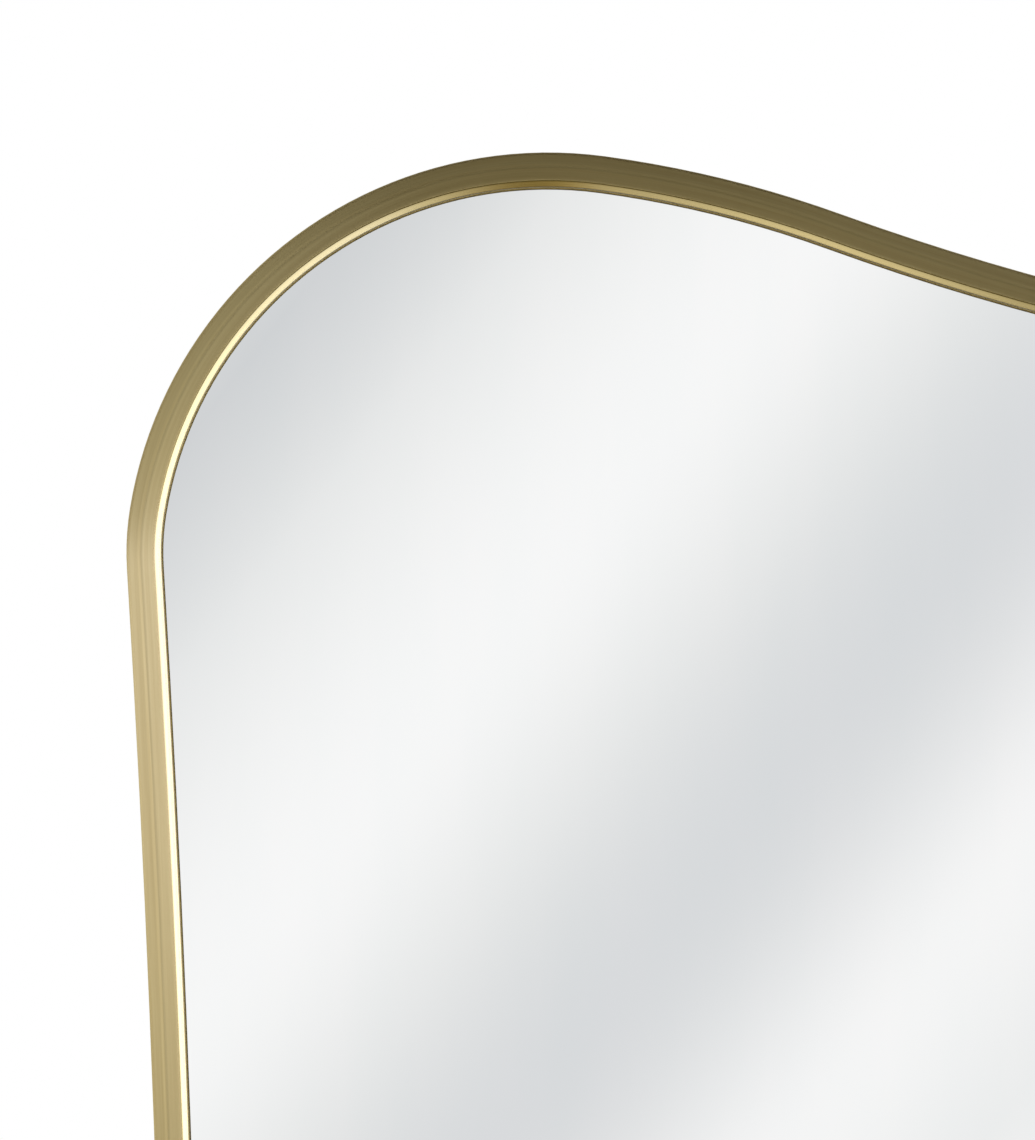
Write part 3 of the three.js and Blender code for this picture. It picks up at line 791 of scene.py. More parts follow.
# %% Folded fabric in front
lean = math.radians(BAND_ANGLE)
across = add_node(studio, "ShaderNodeVectorMath", {"operation": "DOT_PRODUCT"}, {
    0: place.outputs["Generated"], 1: (math.sin(lean), 0, -math.cos(lean))})
counted = add_node(studio, "ShaderNodeMapRange", {"clamp": False}, {
    "Value": across.outputs["Value"], "From Min": BANDS_START, "From Max": BANDS_END})
folded = add_node(studio, "ShaderNodeMath", {"operation": "PINGPONG"}, {0: counted, 1: 1.0})
bands = add_node(studio, "ShaderNodeValToRGB", inputs={"Fac": folded}, stops=[
    ((band_place(pixel) - BANDS_START) / (BANDS_END - BANDS_START), linear(tone)) for pixel, tone in TONES])
bands.color_ramp.interpolation = "CARDINAL"

# %% Bright sides
# Light at the far left and far right. Lower down it is weaker and warmer, and the left side also
# ends sooner towards the top.
LEFT_SIDE, RIGHT_SIDE = (2.25, 2.3, 3.2, 1), (1.75, 1.8, 2.6, 1)
HIGH_LEFT, LOW_SIDE = (0.3, 0.27, 0.17, 1), (0.65, 0.58, 0.27, 1)
SIDES_FROM, SIDES_TO = 0.14, 0.5
LOW_FROM, LOW_TO = 0.04, -0.22
LEFT_TOP, LEFT_TOP_END = -0.04, 0.07


def give_way(light, other, along, start, end):
    """One light gives way to another between two values along a direction, without a kink."""
    share = add_node(studio, "ShaderNodeMapRange", SMOOTH, {
        "Value": along, "From Min": start, "From Max": end})
    return add_node(studio, "ShaderNodeMix", COLOURS, {0: share, 6: light, 7: other}).outputs[2]


on_right = add_node(studio, "ShaderNodeMath", {"operation": "GREATER_THAN"}, {0: right, 1: 0.0})
left_side = give_way(LEFT_SIDE, HIGH_LEFT, up, LEFT_TOP, LEFT_TOP_END)
both_sides = add_node(studio, "ShaderNodeMix", COLOURS, {0: on_right, 6: left_side, 7: RIGHT_SIDE})
lit_sides = give_way(both_sides.outputs[2], LOW_SIDE, up, LOW_FROM, LOW_TO)
outwards = add_node(studio, "ShaderNodeMath", {"operation": "ABSOLUTE"}, {0: right})
belt = give_way(bands, lit_sides, outwards, SIDES_FROM, SIDES_TO)
print("sides begin", round(math.degrees(math.asin(SIDES_FROM)), 1), "degrees off the middle")

# %% Above and below the belt
# Light by place across, from -1 at the far left to 1 at the far right: dark and warm in the middle,
# pale and folded beyond it.
COOL, PLAIN, WARM = (0.93, 1.0, 1.3), (1.0, 1.0, 1.0), (1.1, 0.9, 0.4)
ABOVE = ((-1, 0.5, PLAIN), (-0.5, 0.4, PLAIN), (-0.3, 0.03, WARM), (0.4, 0.03, WARM),
         (0.6, 1.0, PLAIN), (1, 1.0, PLAIN))
BELOW = ((-1, 1.0, PLAIN), (-0.55, 1.0, PLAIN), (-0.38, 0.14, WARM), (0.32, 0.14, WARM),
         (0.6, 0.55, PLAIN), (1, 0.6, PLAIN))
BELT_TOP, BELT_TOP_END = 0.14, 0.23
BELT_BOTTOM, BELT_BOTTOM_END = -0.18, -0.25


def lit(level, tint):
    """A light level with a tint, as a colour."""
    return (*[level * part for part in tint], 1)


place_across = add_node(studio, "ShaderNodeMapRange", inputs={"Value": right, "From Min": -1.0})
front = belt
for zone, edge_from, edge_to in ((ABOVE, BELT_TOP, BELT_TOP_END), (BELOW, BELT_BOTTOM, BELT_BOTTOM_END)):
    plain = add_node(studio, "ShaderNodeValToRGB", inputs={"Fac": place_across}, stops=[
        ((across_room + 1) / 2, lit(level, tint)) for across_room, level, tint in zone])
    draped = add_node(studio, "ShaderNodeVectorMath", {"operation": "MULTIPLY"}, {0: plain, 1: bands})
    front = give_way(front, draped, up, edge_from, edge_to)
print("above and below the belt:", len(ABOVE), "and", len(BELOW), "levels of light")

# %% Screens round the mirror
# Their light by angle in the plane of the wall: 0 is right, 90 is up and -90 is down.
SCREENS = ((-180, 1.1, PLAIN), (-112, 1.3, PLAIN), (-104, 1.15, PLAIN), (-98, 0.72, PLAIN),
           (-93, 0.45, WARM), (-90, 0.28, WARM), (-84, 0.29, WARM), (-72, 0.95, PLAIN), (-60, 1.8, COOL),
           (-40, 2.1, COOL), (-10, 3.2, COOL), (10, 3.2, COOL), (40, 0.7, PLAIN), (75, 0.05, WARM),
           (110, 0.3, PLAIN), (135, 0.9, PLAIN), (180, 0.9, PLAIN))
SCREENS_FROM, SCREENS_TO = -0.5, -0.15
BEHIND = (0.85, 0.85, 0.85, 1)
BEHIND_FROM, BEHIND_TO = 0.1, 0.4

turn = add_node(studio, "ShaderNodeMath", {"operation": "ARCTAN2"}, {0: up, 1: right})
turned = add_node(studio, "ShaderNodeMapRange", inputs={
    "Value": turn, "From Min": -math.pi, "From Max": math.pi})
screens = add_node(studio, "ShaderNodeValToRGB", inputs={"Fac": turned}, stops=[
    ((angle + 180) / 360, lit(level, tint)) for angle, level, tint in SCREENS])
ringed = give_way(front, screens, back, SCREENS_FROM, SCREENS_TO)
room = give_way(ringed, BEHIND, back, BEHIND_FROM, BEHIND_TO)
print("screens:", len(SCREENS), "levels of light round the mirror")

# %% White for the camera
WHITE = (1, 1, 1, 1)
path = add_node(studio, "ShaderNodeLightPath")
seen = add_node(studio, "ShaderNodeMix", COLOURS, {
    0: path.outputs["Is Camera Ray"], 6: room, 7: WHITE})
light = add_node(studio, "ShaderNodeBackground", inputs={"Color": seen.outputs[2], "Strength": 1.0})
add_node(studio, "ShaderNodeOutputWorld", inputs={"Surface": light})
print("studio light:", len(studio.nodes), "nodes")

# %% [markdown]
# ## Gasket
# A flat strip of black rubber lies between the frame's foot and the glass. It stands back from the
# sight edge, so all that shows of it is the thin dark line round the glass. It is
# drawn as a small section and spun all the way round.

# %% Rubber
BLOOM_GRAINS = 8  # the bloom's patches are this many grains wide


def rubber(name, hexes, grain, depth, roughness):
    """Moulded or extruded rubber: dark, matt, with a fine uneven skin that breaks up its gloss."""
    material, tree = new_material(name)
    place = add_node(tree, "ShaderNodeTexCoord")
    skin = add_node(tree, "ShaderNodeTexNoise", inputs={
        "Vector": place.outputs["Object"], "Scale": 1 / grain, "Detail": 4, "Roughness": 0.6})
    bloom = add_node(tree, "ShaderNodeTexNoise", inputs={
        "Vector": place.outputs["Object"], "Scale": 1 / (BLOOM_GRAINS * grain), "Detail": 2})
    tone = add_node(tree, "ShaderNodeMix", {"data_type": "FLOAT"}, {
        "Factor": 0.5, "A": skin, "B": bloom})
    colour = add_node(tree, "ShaderNodeValToRGB", inputs={"Fac": tone},
                      stops=((TONE_LOW, linear(hexes[0])), (TONE_HIGH, linear(hexes[1]))))
    rough = add_node(tree, "ShaderNodeMapRange", inputs={
        "Value": tone, "To Min": roughness - 0.1, "To Max": roughness + 0.1})
    bump = add_node(tree, "ShaderNodeBump", inputs={
        "Height": skin, "Strength": 0.5, "Distance": depth})
    shader = add_node(tree, "ShaderNodeBsdfPrincipled", inputs={
        "Base Color": colour, "Roughness": rough, "IOR": 1.5, "Normal": bump})
    add_node(tree, "ShaderNodeOutputMaterial", inputs={"Surface": shader})
    return material


# EPDM, extruded: almost black, with hardly any gloss.
gasket_rubber = rubber("extruded_epdm_rubber", ("161617", "252527"), 0.5 * MM, 0.02 * MM, 0.78)
print("made", gasket_rubber.name)

# %% Gasket
GASKET_SETBACK, GASKET_WIDTH, GASKET_ROUND = 0.4 * MM, 2.9 * MM, 0.15 * MM
GASKET_INNER = SIGHT_EDGE - GASKET_SETBACK
GASKET_OUTER = GASKET_INNER - GASKET_WIDTH
strip = [(GASKET_OUTER, GASKET_BACK), (GASKET_INNER, GASKET_BACK),
         (GASKET_INNER, GASKET_FRONT), (GASKET_OUTER, GASKET_FRONT)]
gasket = draw("rubber_gasket", [at_section(*corner) for corner in strip], closed=True)
for corner in strip:
    round_corner(at_section(*corner), GASKET_ROUND, 2)
select_all()
spin_along(round_trip)
merge_and_face_outwards()
leave_edit()
done(gasket, "glazing_gasket", "gasket_rubber", gasket_rubber)
print("gasket:", len(gasket.data.polygons), "faces")

# %% [markdown]
# ## Backing board
# The back is 6 mm fibreboard with a black lacquered face. Lacquer rolled on board dries with a
# soft orange peel and a few dull rub marks. Its sawn edge stays brown and fibrous. The board is
# a plate like the pane, with a pilot hole under each screw.

# %% Black lacquered fibreboard and its sawn edge
def lacquered_board():
    material, tree = new_material("black_lacquered_fibreboard")
    place = add_node(tree, "ShaderNodeTexCoord")
    peel = add_node(tree, "ShaderNodeTexNoise", inputs={
        "Vector": place.outputs["Object"], "Scale": 1 / (1.8 * MM), "Detail": 3, "Roughness": 0.55})
    rubbed = add_node(tree, "ShaderNodeMapping", inputs={
        "Vector": place.outputs["Object"], "Rotation": (0, math.radians(24), 0), "Scale": (9, 9, 55)})
    scuffs = add_node(tree, "ShaderNodeTexNoise", inputs={
        "Vector": rubbed, "Scale": 1, "Detail": 5, "Roughness": 0.7})
    colour = add_node(tree, "ShaderNodeValToRGB", inputs={"Fac": scuffs},
                      stops=((0.42, linear("1c1c1b")), (TONE_HIGH, linear("2a2928"))))
    rough = add_node(tree, "ShaderNodeMapRange", inputs={
        "Value": scuffs, "From Min": 0.35, "From Max": 0.7, "To Min": 0.42, "To Max": 0.62})
    bump = add_node(tree, "ShaderNodeBump", inputs={
        "Height": peel, "Strength": 0.35, "Distance": 0.06 * MM})
    shader = add_node(tree, "ShaderNodeBsdfPrincipled", inputs={
        "Base Color": colour, "Roughness": rough, "IOR": 1.5, "Normal": bump})
    add_node(tree, "ShaderNodeOutputMaterial", inputs={"Surface": shader})
    return material


lacquer = lacquered_board()
# Sawn fibreboard: brown, dull and rough, with its fibres pressed flat along the face.
fibre_edge = grained("sawn_fibreboard_edge", ("5a4433", "8a6b4e"), grain=0.9 * MM, detail=4,
                     relief=0.15 * MM, strength=0.6, roughness=0.9, breakup=0.7, squeeze=(1, 4, 1))
print("made", lacquer.name, "and", fibre_edge.name)

# %% Cutting and drilling
def apply_modifier(piece, kind, settings):
    """Adds a modifier with its settings and applies it."""
    pick(piece)
    modifier = piece.modifiers.new(kind.lower(), kind)
    for name, value in settings.items():
        setattr(modifier, name, value)
    bpy.ops.object.modifier_apply(modifier=modifier.name)


def combine(piece, other, operation):
    """Cuts the other piece out of this one, or joins it to this one, and deletes it."""
    apply_modifier(piece, "BOOLEAN", {"operation": operation, "solver": "EXACT", "object": other})
    bpy.data.objects.remove(other)


def drill(piece, radius, at, back, front):
    """Drills a plain round hole along Y. Its bit goes from one level to the other, and a bit past both."""
    deselect()
    bpy.ops.mesh.primitive_cylinder_add(
        vertices=24, radius=radius, depth=front - back + 2 * MM, rotation=(math.pi / 2, 0, 0),
        location=(at.x, -(back + front) / 2, at.z))
    combine(piece, bpy.context.object, "DIFFERENCE")


# %% Saw the board and drill it
SCREW_SHANK = 1.5 * MM
HOLE_CLEARANCE = 0.3 * MM
BOARD_ARRIS = 0.3 * MM
pan_screws = [f"clip_screw_{i + 1}" for i in range(8)]
pan_screws += [f"hanger_screw_{side}_{i}" for side in ("left", "right") for i in (1, 2)]


def node_centre(node):
    low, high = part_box(node)
    return (low + high) / 2


board = plate("backing_panel", PANE_INSET, BOARD_BACK, BOARD_FRONT, BOARD_ARRIS)
for screw in pan_screws:
    drill(board, SCREW_SHANK + HOLE_CLEARANCE, node_centre(screw), BOARD_BACK, BOARD_FRONT)
cover(board, lacquer, fibre_edge)
for face in board.data.polygons:
    face.material_index = 0 if abs(face.normal.y) > FLAT else 1
done(board, "backing_board", "board")
print("board:", len(pan_screws), "pilot holes,", len(board.data.polygons), "faces")

# %% [markdown]
# ## Zinc-plated and nickel-plated steel
# The clips, the joiner and the screws are steel with bright zinc plating. Zinc looks grey and a
# little blue, with a soft patchy gloss. The hangers are nickel-plated: warmer, brighter and
# smoother, with faint polishing lines. Both are metals, so their colour is in the base colour.

# %% Plated steels
def plated_steel(name, hexes, roughness, patch, stretch=(1, 1, 1)):
    material, tree = new_material(name)
    place = add_node(tree, "ShaderNodeTexCoord")
    lined = add_node(tree, "ShaderNodeMapping", inputs={
        "Vector": place.outputs["Object"], "Scale": stretch})
    patches = add_node(tree, "ShaderNodeTexNoise", inputs={
        "Vector": lined, "Scale": 1 / patch, "Detail": 4, "Roughness": 0.6})
    fine = add_node(tree, "ShaderNodeTexNoise", inputs={
        "Vector": lined, "Scale": 6 / patch, "Detail": 2})
    colour = add_node(tree, "ShaderNodeValToRGB", inputs={"Fac": patches},
                      stops=((TONE_LOW, linear(hexes[0])), (TONE_HIGH, linear(hexes[1]))))
    rough = add_node(tree, "ShaderNodeMapRange", inputs={
        "Value": patches, "From Min": TONE_LOW, "From Max": TONE_HIGH,
        "To Min": roughness - 0.06, "To Max": roughness + 0.08})
    bump = add_node(tree, "ShaderNodeBump", inputs={
        "Height": fine, "Strength": 0.2, "Distance": 0.02 * MM})
    shader = add_node(tree, "ShaderNodeBsdfPrincipled", inputs={
        "Metallic": 1.0, "Base Color": colour, "Roughness": rough, "Normal": bump})
    add_node(tree, "ShaderNodeOutputMaterial", inputs={"Surface": shader})
    return material


zinc = plated_steel("zinc_plated_steel", ("a9adb3", "c6c9cd"), 0.36, 2.5 * MM)
nickel = plated_steel("nickel_plated_steel", ("bdb8ac", "d2cdc2"), 0.22, 1.6 * MM, (1, 1, 0.15))

# %% [markdown]
# ## Pan-head screws
# Twelve equal screws hold the clips and the hangers. One is made: half of its outline is
# drawn and spun round its axis, and a cross is sunk into its head. The others are copies, each
# turned by another angle, because no one lines up the slots of hidden screws.

# %% Turning a screw and sinking its cross
CROSS_WIDTH, CROSS_LENGTH, CROSS_DEPTH = 0.8 * MM, 3.6 * MM, 0.9 * MM
CROSS_TAPER = 0.62  # how wide the cross is at its bottom, against its top


def lathe(name, profile, steps=32):
    """Spins a profile of (radius, height) round the Y axis. Height runs towards the wall."""
    piece = draw(name, [(radius, height, 0) for radius, height in profile])
    bpy.ops.mesh.spin(steps=steps, angle=2 * math.pi, center=(0, 0, 0), axis=(0, 1, 0))
    merge_and_face_outwards(TOUCHING)
    leave_edit()
    return piece


def wedge_cutter(face, turn):
    """A wedge that gets narrower as it goes down, with its middle at the face."""
    deselect()
    bpy.ops.mesh.primitive_cube_add(size=1, location=(0, face, 0), rotation=(0, turn, 0))
    wedge = bpy.context.object
    wedge.scale = (CROSS_LENGTH, 2 * CROSS_DEPTH, CROSS_WIDTH)
    keep_place()
    edit(wedge)
    select("VERT", lambda v: v.co.y < face)
    bpy.ops.transform.resize(value=(CROSS_TAPER, 1, CROSS_TAPER), center_override=(0, 0, 0))
    leave_edit()
    return wedge


def sink_cross(screw, face):
    """Sinks a cross recess into a screw's head: two wedges that cross, taken out together."""
    lengthwise_wedge = wedge_cutter(face, 0)
    crosswise_wedge = wedge_cutter(face, math.pi / 2)
    combine(crosswise_wedge, lengthwise_wedge, "UNION")
    combine(screw, crosswise_wedge, "DIFFERENCE")


# %% Model one pan-head screw
HEAD_RADIUS, HEAD_HEIGHT = 3.4 * MM, 1.9 * MM
HEAD_SIDE = 0.3  # the upright side of the head, as a share of its height
DOME_NARROWS = 0.38  # how much of its radius the head loses over the dome
DOME_ARC = math.radians(62)
SCREW_LENGTH, SCREW_POINT = 7 * MM, 1.6 * MM
THREAD_PITCH, THREAD_DEPTH = 1.2 * MM, 0.25 * MM
THREAD_STOPS = 0.3 * MM  # under the head


def screw_profile():
    """Threaded shank from the tip up, then the seat and the rounded head."""
    points = [(0, -SCREW_LENGTH), (SCREW_SHANK - THREAD_DEPTH, SCREW_POINT - SCREW_LENGTH)]
    height = points[-1][1]
    while height + THREAD_PITCH < -THREAD_STOPS:
        points.append((SCREW_SHANK, height + THREAD_PITCH / 2))
        points.append((SCREW_SHANK - THREAD_DEPTH, height + THREAD_PITCH))
        height += THREAD_PITCH
    points += [(SCREW_SHANK, 0), (HEAD_RADIUS, 0), (HEAD_RADIUS, HEAD_SIDE * HEAD_HEIGHT)]
    for share in (0.25, 0.5, 0.75, 1):
        angle = share * DOME_ARC
        narrower = DOME_NARROWS * (1 - math.cos(angle)) / (1 - math.cos(DOME_ARC))
        higher = HEAD_SIDE + (1 - HEAD_SIDE) * math.sin(angle) / math.sin(DOME_ARC)
        points.append((HEAD_RADIUS * (1 - narrower), HEAD_HEIGHT * higher))
    return points + [(0, HEAD_HEIGHT)]


master_screw = lathe("pan_head_screw", screw_profile())
sink_cross(master_screw, HEAD_HEIGHT)
print("pan-head screw:", len(master_screw.data.polygons), "faces")

# %% Copy the screws into place
SCREW_TURN = 37  # degrees from one screw's cross to the next one's


def turn_about_y(degrees):
    return Matrix.Rotation(math.radians(degrees), 4, "Y")


def place_copy(master, name, matrix):
    """A copy with its own mesh, whose place and turn are in that mesh."""
    copy = master.copy()
    copy.data = master.data.copy()
    copy.name = copy.data.name = name
    bpy.context.collection.objects.link(copy)
    copy.matrix_world = matrix
    pick(copy)
    keep_place()
    return copy


for i, node in enumerate(pan_screws):
    centre = node_centre(node)
    seat = Vector((centre.x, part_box(node)[1].y - HEAD_HEIGHT, centre.z))
    place = Matrix.Translation(seat) @ turn_about_y(SCREW_TURN * i)
    done(place_copy(master_screw, f"pan_head_{node}", place), node, "zinc_steel", zinc)
bpy.data.objects.remove(master_screw)
print("placed", len(pan_screws), "pan-head screws")

# %% [markdown]
# ## Joiner screws
# Four small countersunk screws go through the frame from below, two on each side of the butt
# joint, into a steel bar. Their heads sit just under the surface, in holes cut for them.

# %% Model one countersunk screw
SINK = 0.1 * MM  # how far the heads lie under the surface
SUNK_SHANK, SUNK_HEAD, SUNK_HEIGHT = 1.4 * MM, 2.4 * MM, 1.1 * MM
SUNK_RIM = 0.1 * MM  # the head ends in a short upright rim
JOINER_THICKNESS = 1.6 * MM
tip = WALL_THICKNESS + SEAT_GAP + JOINER_THICKNESS + SINK
sunk = lathe("countersunk_screw", [
    (0, -tip), (SUNK_SHANK, -tip), (SUNK_SHANK, -SINK - SUNK_HEIGHT),
    (SUNK_HEAD - SUNK_RIM, -SINK - SUNK_RIM), (SUNK_HEAD - SUNK_RIM, -SINK), (0, -SINK)])
sink_cross(sunk, -SINK)
print("countersunk screw:", len(sunk.data.polygons), "faces")

# %% Drill the frame and place the screws
JOINER_DISTANCES = (-26 * MM, -12 * MM, 12 * MM, 26 * MM)  # from the joint, along the frame
FIRST_TURN, NEXT_TURN = 25, 50  # degrees
slope = (SUNK_HEAD - SUNK_SHANK) / SUNK_HEIGHT
hole_radius = SUNK_SHANK + HOLE_CLEARANCE
mouth_radius = SUNK_HEAD + HOLE_CLEARANCE + slope * SINK
joiner_level = (BOARD_BACK + GLASS_FRONT) / 2
for i, distance in enumerate(JOINER_DISTANCES):
    turn = seam - math.degrees(distance / bottom.radius)
    upright = Vector((0, 1, 0)).rotation_difference(direction(turn)).to_matrix().to_4x4()
    place = Matrix.Translation(at_section(0, joiner_level, turn)) @ upright
    hole = lathe("hole_cutter", [
        (0, -PANE_INSET), (hole_radius, -PANE_INSET), (hole_radius, -SINK - SUNK_HEIGHT),
        (mouth_radius, 0), (mouth_radius, MM), (0, MM)])
    hole.matrix_world = place
    combine(bent_frame, hole, "DIFFERENCE")
    node = f"joiner_screw_{i + 1}"
    screw = place_copy(sunk, f"countersunk_{node}", place @ turn_about_y(FIRST_TURN + NEXT_TURN * i))
    done(screw, node, "zinc_steel", zinc)
bpy.data.objects.remove(sunk)
shade(bent_frame)
print("frame after drilling:", len(bent_frame.data.polygons), "faces")

# %% [markdown]
# ## Retaining clips
# Each clip is a strip of steel, bent once. Its short flange stands beside the frame's wall, and its
# tongue lies on the board with its root under the rib. A plane is extruded round the bend, thickened,
# rounded at its free end and drilled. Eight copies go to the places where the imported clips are.

# %% Breaking sharp edges
BROKEN_EDGE = 0.15 * MM
SHARP_FROM = 40  # degrees


def break_edges(piece):
    """Takes the sharpness off a stamped piece, as tumbling does."""
    apply_modifier(piece, "BEVEL", {"width": BROKEN_EDGE, "segments": 2, "limit_method": "ANGLE",
                                    "angle_limit": math.radians(SHARP_FROM)})


# %% Model one clip
CLIP_WIDTH, CLIP_REACH, CLIP_FLANGE = 14 * MM, 16 * MM, 5.5 * MM
CLIP_BEND, CLIP_END_ROUND = 1.1 * MM, 4 * MM
CLIP_OUTER = WALL_THICKNESS + 0.6 * MM  # clear of the frame's wall
CLIP_SCREW = CLIP_OUTER + 9 * MM


def model_clip():
    """A clip as it lies at an outline that runs along Z, with the middle of the mirror at +X."""
    outer, tongue_end = CLIP_OUTER, CLIP_OUTER + CLIP_REACH
    flange_end = CLIP_BACK + CLIP_FLANGE
    corners = [(tongue_end, CLIP_BACK), (outer, CLIP_BACK), (outer, flange_end),
               (outer + CLIP_THICKNESS, flange_end), (outer + CLIP_THICKNESS, CLIP_FRONT),
               (tongue_end, CLIP_FRONT)]
    points = [Vector((inset, -level, -CLIP_WIDTH / 2)) for inset, level in corners]
    clip = draw("clip", points, closed=True)
    round_corner(points[1], CLIP_BEND, 6)
    select_all()
    bpy.ops.mesh.edge_face_add()
    bpy.ops.mesh.extrude_region_move(TRANSFORM_OT_translate={"value": (0, 0, CLIP_WIDTH)})
    merge_and_face_outwards()
    select("EDGE", lambda e: all(abs(v.co.x - tongue_end) < TOUCHING for v in e.verts)
           and abs(e.verts[0].co.z - e.verts[1].co.z) < TOUCHING)
    bevel_edges(CLIP_END_ROUND, 8)
    leave_edit()
    drill(clip, SCREW_SHANK + HOLE_CLEARANCE, Vector((CLIP_SCREW, 0, 0)), CLIP_BACK, CLIP_FRONT)
    break_edges(clip)
    return clip


master_clip = model_clip()
print("clip:", len(master_clip.data.polygons), "faces")

# %% Copy the clips into place
# Each place is a share of the way along a hollow side.
CLIP_PLACES = (("left_hollow", 0.2), ("left_hollow", 0.8), ("top_hollow", 0.15), ("top_hollow", 0.85),
               ("right_hollow", 0.2), ("right_hollow", 0.8), ("bottom_hollow", 0.12),
               ("bottom_hollow", 0.88))
for i, (name, share) in enumerate(CLIP_PLACES):
    arc = outline[name]
    node = f"retaining_clip_{i + 1}"
    inwards = -arc.normal(share)
    facing = turn_about_y(-math.degrees(math.atan2(inwards.z, inwards.x)))
    clip = place_copy(master_clip, f"bent_{node}", Matrix.Translation(arc.point(share)) @ facing)
    done(clip, node, "zinc_steel", zinc)
    off = arc.point(share) + inwards * CLIP_SCREW - node_centre(f"clip_screw_{i + 1}")
    print(node, "has its hole", round(math.hypot(off.x, off.z) / MM, 2), "mm from its screw")
bpy.data.objects.remove(master_clip)

# %% [markdown]
# ## Hangers
# A hanger is a nickel-plated strap with a rounded foot. Its top is rolled into an eye, in which the
# straight bar of a D-shaped ring can swing. The strap starts as a flat bar whose top face is
# spun round the eye's axis. The ring starts as a circle, the section of its wire, which is
# extruded along the straights and spun round the bends.

# %% Model one strap
STRAP_WIDTH, STRAP_LENGTH, STRAP_THICKNESS = 14 * MM, 40 * MM, 1.2 * MM
STRAP_HOLES = (22 * MM, 34 * MM)
ROLL_TURN = 290  # degrees
PIVOT = {side: Vector(frame["joints"][i]["pos_m"]) for i, side in enumerate(("left", "right"))}
roll_outer = BOARD_BACK - SEAT_GAP + PIVOT["left"].y
roll_inner = roll_outer - STRAP_THICKNESS


def model_strap():
    """A strap whose eye's axis is the X axis. Its flat lies in front, against the board."""
    deselect()
    middle = -(roll_inner + roll_outer) / 2
    bpy.ops.mesh.primitive_cube_add(size=1, location=(0, middle, -STRAP_LENGTH / 2))
    strap = bpy.context.object
    strap.scale = (STRAP_WIDTH, STRAP_THICKNESS, STRAP_LENGTH)
    keep_place()
    edit(strap)
    select("EDGE", lambda e: all(v.co.z < -STRAP_LENGTH + TOUCHING for v in e.verts)
           and abs(e.verts[0].co.y - e.verts[1].co.y) > TOUCHING)
    bevel_edges(STRAP_WIDTH / 2 - TOUCHING, 12)
    select("FACE", lambda f: f.normal.z > FLAT)
    bpy.ops.mesh.spin(steps=36, angle=math.radians(ROLL_TURN), center=(0, 0, 0), axis=(1, 0, 0))
    merge_and_face_outwards()
    leave_edit()
    for below in STRAP_HOLES:
        drill(strap, SCREW_SHANK + HOLE_CLEARANCE, Vector((0, 0, -below)), roll_inner, roll_outer)
    break_edges(strap)
    return strap


master_strap = model_strap()
print("strap:", len(master_strap.data.polygons), "faces")

# %% Model one ring
WIRE_RADIUS = 1.5 * MM
RING_HALF_WIDTH, RING_DROP, RING_CORNER, RING_BOW = 12 * MM, 15 * MM, 3 * MM, 11 * MM


def model_ring():
    """A D-shaped ring whose straight bar lies on the X axis."""
    deselect()
    bpy.ops.mesh.primitive_circle_add(vertices=20, radius=WIRE_RADIUS, rotation=(0, math.pi / 2, 0))
    wire_ring = bpy.context.object
    keep_place()
    edit(wire_ring)
    select_all()

    def straight(x, z):
        bpy.ops.mesh.extrude_region_move(TRANSFORM_OT_translate={"value": (x, 0, z)})

    def bend(x, z, steps):
        bpy.ops.mesh.spin(steps=steps, angle=-math.pi / 2, center=(x, 0, z), axis=(0, 1, 0))

    corner_x, bow_x, bow_z = RING_HALF_WIDTH - RING_CORNER, RING_HALF_WIDTH - RING_BOW, RING_BOW - RING_DROP
    straight(corner_x, 0)
    bend(corner_x, -RING_CORNER, 8)
    straight(0, bow_z + RING_CORNER)
    bend(bow_x, bow_z, 20)
    straight(-2 * bow_x, 0)
    bend(-bow_x, bow_z, 20)
    straight(0, -RING_CORNER - bow_z)
    bend(-corner_x, -RING_CORNER, 8)
    straight(corner_x, 0)
    merge_and_face_outwards(TOUCHING)
    leave_edit()
    return wire_ring


master_ring = model_ring()
print("ring:", len(master_ring.data.polygons), "faces")

# %% Copy the hangers into place
for side, pivot in PIVOT.items():
    place = Matrix.Translation(pivot)
    strap = place_copy(master_strap, f"rolled_strap_{side}", place)
    done(strap, f"hanger_strap_{side}", "nickel_steel", nickel)
    wire_ring = place_copy(master_ring, f"wire_ring_{side}", place)
    done(wire_ring, f"hanger_ring_{side}", "nickel_steel", nickel, body=f"ring_{side}")
bpy.data.objects.remove(master_strap)
bpy.data.objects.remove(master_ring)
print("placed", len(PIVOT), "hangers")

# %% [markdown]
# ## Wall bumpers
# Four moulded rubber buttons are stuck to the board. Each starts as a cylinder. Its wall-side
# edge is rounded and its face is inset and sunk a little, so that it grips like a shallow cup.

# %% Grey bumper rubber
# Moulded rubber, dark grey: a little smoother than the gasket, with a faint bloom.
bumper_rubber = rubber("moulded_grey_rubber", ("2f2f31", "444447"), 0.7 * MM, 0.03 * MM, 0.68)

# %% Bumpers
BUMPER_RADIUS, BUMPER_ROUND = 6 * MM, 1 * MM
RIM_WIDTH, CUP_SLOPE, CUP_DEPTH = 1.6 * MM, 0.5 * MM, 0.35 * MM
FOOT_ROUND = 0.3 * MM


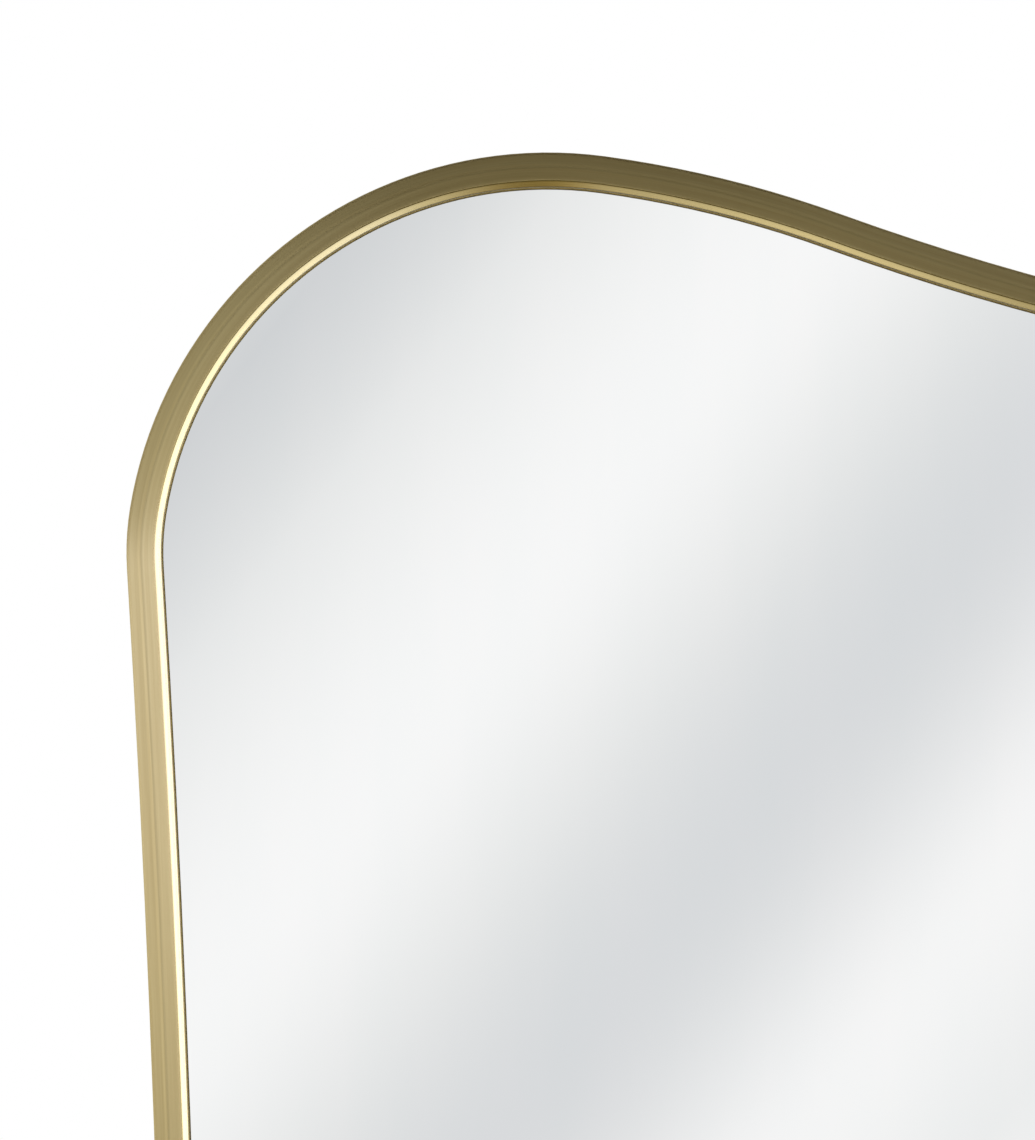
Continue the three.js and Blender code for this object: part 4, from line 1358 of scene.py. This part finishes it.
def model_bumper(front):
    deselect()
    bpy.ops.mesh.primitive_cylinder_add(
        vertices=40, radius=BUMPER_RADIUS, depth=front, location=(0, -front / 2, 0),
        rotation=(math.pi / 2, 0, 0))
    button = bpy.context.object
    keep_place()
    edit(button)
    select("FACE", lambda f: f.normal.y > FLAT)
    bevel_edges(BUMPER_ROUND, 5)
    select("FACE", lambda f: f.normal.y > FLAT and len(f.verts) > 8)
    bpy.ops.mesh.inset(thickness=RIM_WIDTH)
    bpy.ops.mesh.inset(thickness=CUP_SLOPE, depth=-CUP_DEPTH)
    select("EDGE", lambda e: all(v.co.y < -front + TOUCHING for v in e.verts))
    bevel_edges(FOOT_ROUND, 2)
    merge_and_face_outwards()
    leave_edit()
    return button


master_bumper = model_bumper(BOARD_BACK - SEAT_GAP)
bumper_nodes = [name for name in frame["nodes"] if name.startswith("wall_bumper")]
for node in bumper_nodes:
    centre = node_centre(node)
    button = place_copy(master_bumper, f"rubber_{node}", Matrix.Translation((centre.x, 0, centre.z)))
    done(button, node, "bumper_rubber", bumper_rubber)
bpy.data.objects.remove(master_bumper)
print("placed", len(bumper_nodes), "bumpers")

# %% [markdown]
# ## Pieces kept as packed
# The joiner bar and the foam pads are plain bars inside the mirror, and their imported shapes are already
# right. They only get a material: zinc for the bar, and for the pads white closed-cell foam, whose
# cut faces show fine pores.

# %% Foam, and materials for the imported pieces
def foam():
    material, tree = new_material("closed_cell_polyethylene_foam")
    place = add_node(tree, "ShaderNodeTexCoord")
    cells = add_node(tree, "ShaderNodeTexVoronoi", {"feature": "DISTANCE_TO_EDGE"}, {
        "Vector": place.outputs["Object"], "Scale": 1 / (0.9 * MM)})
    # The pores are painted a little darker than the cell walls round them: painted shade in the pits that
    # the bump makes.
    colour = add_node(tree, "ShaderNodeValToRGB", inputs={"Fac": cells.outputs["Distance"]},
                      stops=((0.0, linear("f4f2ec")), (0.5, linear("dcd9d0"))))
    bump = add_node(tree, "ShaderNodeBump", {"invert": True}, {
        "Height": cells.outputs["Distance"], "Strength": 0.6, "Distance": 0.2 * MM})
    shader = add_node(tree, "ShaderNodeBsdfPrincipled", inputs={
        "Base Color": colour, "Roughness": 0.85, "Subsurface Weight": 0.1,
        "Subsurface Scale": 1 * MM, "Normal": bump})
    add_node(tree, "ShaderNodeOutputMaterial", inputs={"Surface": shader})
    return material


white_foam = foam()
pads = [name for name in frame["nodes"] if name.startswith("foam_pad")]
cover(frame["nodes"]["frame_joiner"], zinc)
for pad in pads:
    cover(frame["nodes"][pad], white_foam)
print("dressed the joiner bar and", len(pads), "foam pads")

# %% [markdown]
# ## Floor and lamps
# The floor is pale and lies well below the mirror, as under a mirror on a wall. It fades out
# towards its rim, so that no edge shows against the white surroundings. Two large soft lamps
# light what is matt. They are left out of reflections, because the studio light already gives those.

# %% Pale floor
FLOOR_BELOW = 1.0  # metres under the mirror's lowest point
FLOOR_RADIUS = 1.6


def pale_floor():
    material, tree = new_material("pale_studio_floor")
    place = add_node(tree, "ShaderNodeTexCoord")
    centred = add_node(tree, "ShaderNodeMapping", inputs={
        "Vector": place.outputs["Object"], "Scale": (1 / FLOOR_RADIUS, 1 / FLOOR_RADIUS, 0)})
    reach = add_node(tree, "ShaderNodeTexGradient", {"gradient_type": "SPHERICAL"}, {
        "Vector": centred})
    fade = add_node(tree, "ShaderNodeMapRange", SMOOTH, {
        "Value": reach.outputs["Fac"], "From Min": 0.0, "From Max": 0.5})
    mottle = add_node(tree, "ShaderNodeTexNoise", inputs={"Vector": place.outputs["Object"], "Scale": 2.5})
    colour = add_node(tree, "ShaderNodeValToRGB", inputs={"Fac": mottle},
                      stops=((TONE_LOW, linear("dbdad7")), (TONE_HIGH, linear("e1e0dd"))))
    matt = add_node(tree, "ShaderNodeBsdfDiffuse", inputs={"Color": colour})
    clear = add_node(tree, "ShaderNodeBsdfTransparent")
    shader = add_node(tree, "ShaderNodeMixShader", inputs={0: fade, 1: clear, 2: matt})
    add_node(tree, "ShaderNodeOutputMaterial", inputs={"Surface": shader})
    return material


deselect()
bpy.ops.mesh.primitive_circle_add(vertices=96, radius=FLOOR_RADIUS, fill_type="NGON")
floor = bpy.context.object
floor.name = "studio_floor"
floor.location.z = cad_low.z - FLOOR_BELOW
floor.visible_glossy = False
floor.data.materials.append(pale_floor())
print("floor at", round(floor.location.z, 3), "m")

# %% Soft lamps
def soft_lamp(name, place, size, power):
    """A square area lamp that faces the middle of the mirror."""
    bpy.ops.object.light_add(type="AREA", location=place)
    lamp = bpy.context.object
    lamp.name = name
    lamp.rotation_euler = (-Vector(place)).to_track_quat("-Z", "Y").to_euler()
    lamp.data.size = size
    lamp.data.energy = power
    lamp.visible_glossy = False
    return lamp


soft_lamp("front_lamp", (-1.6, -2.2, 2.0), 1.6, 25)
soft_lamp("rear_lamp", (1.4, 2.4, 1.8), 1.6, 45)
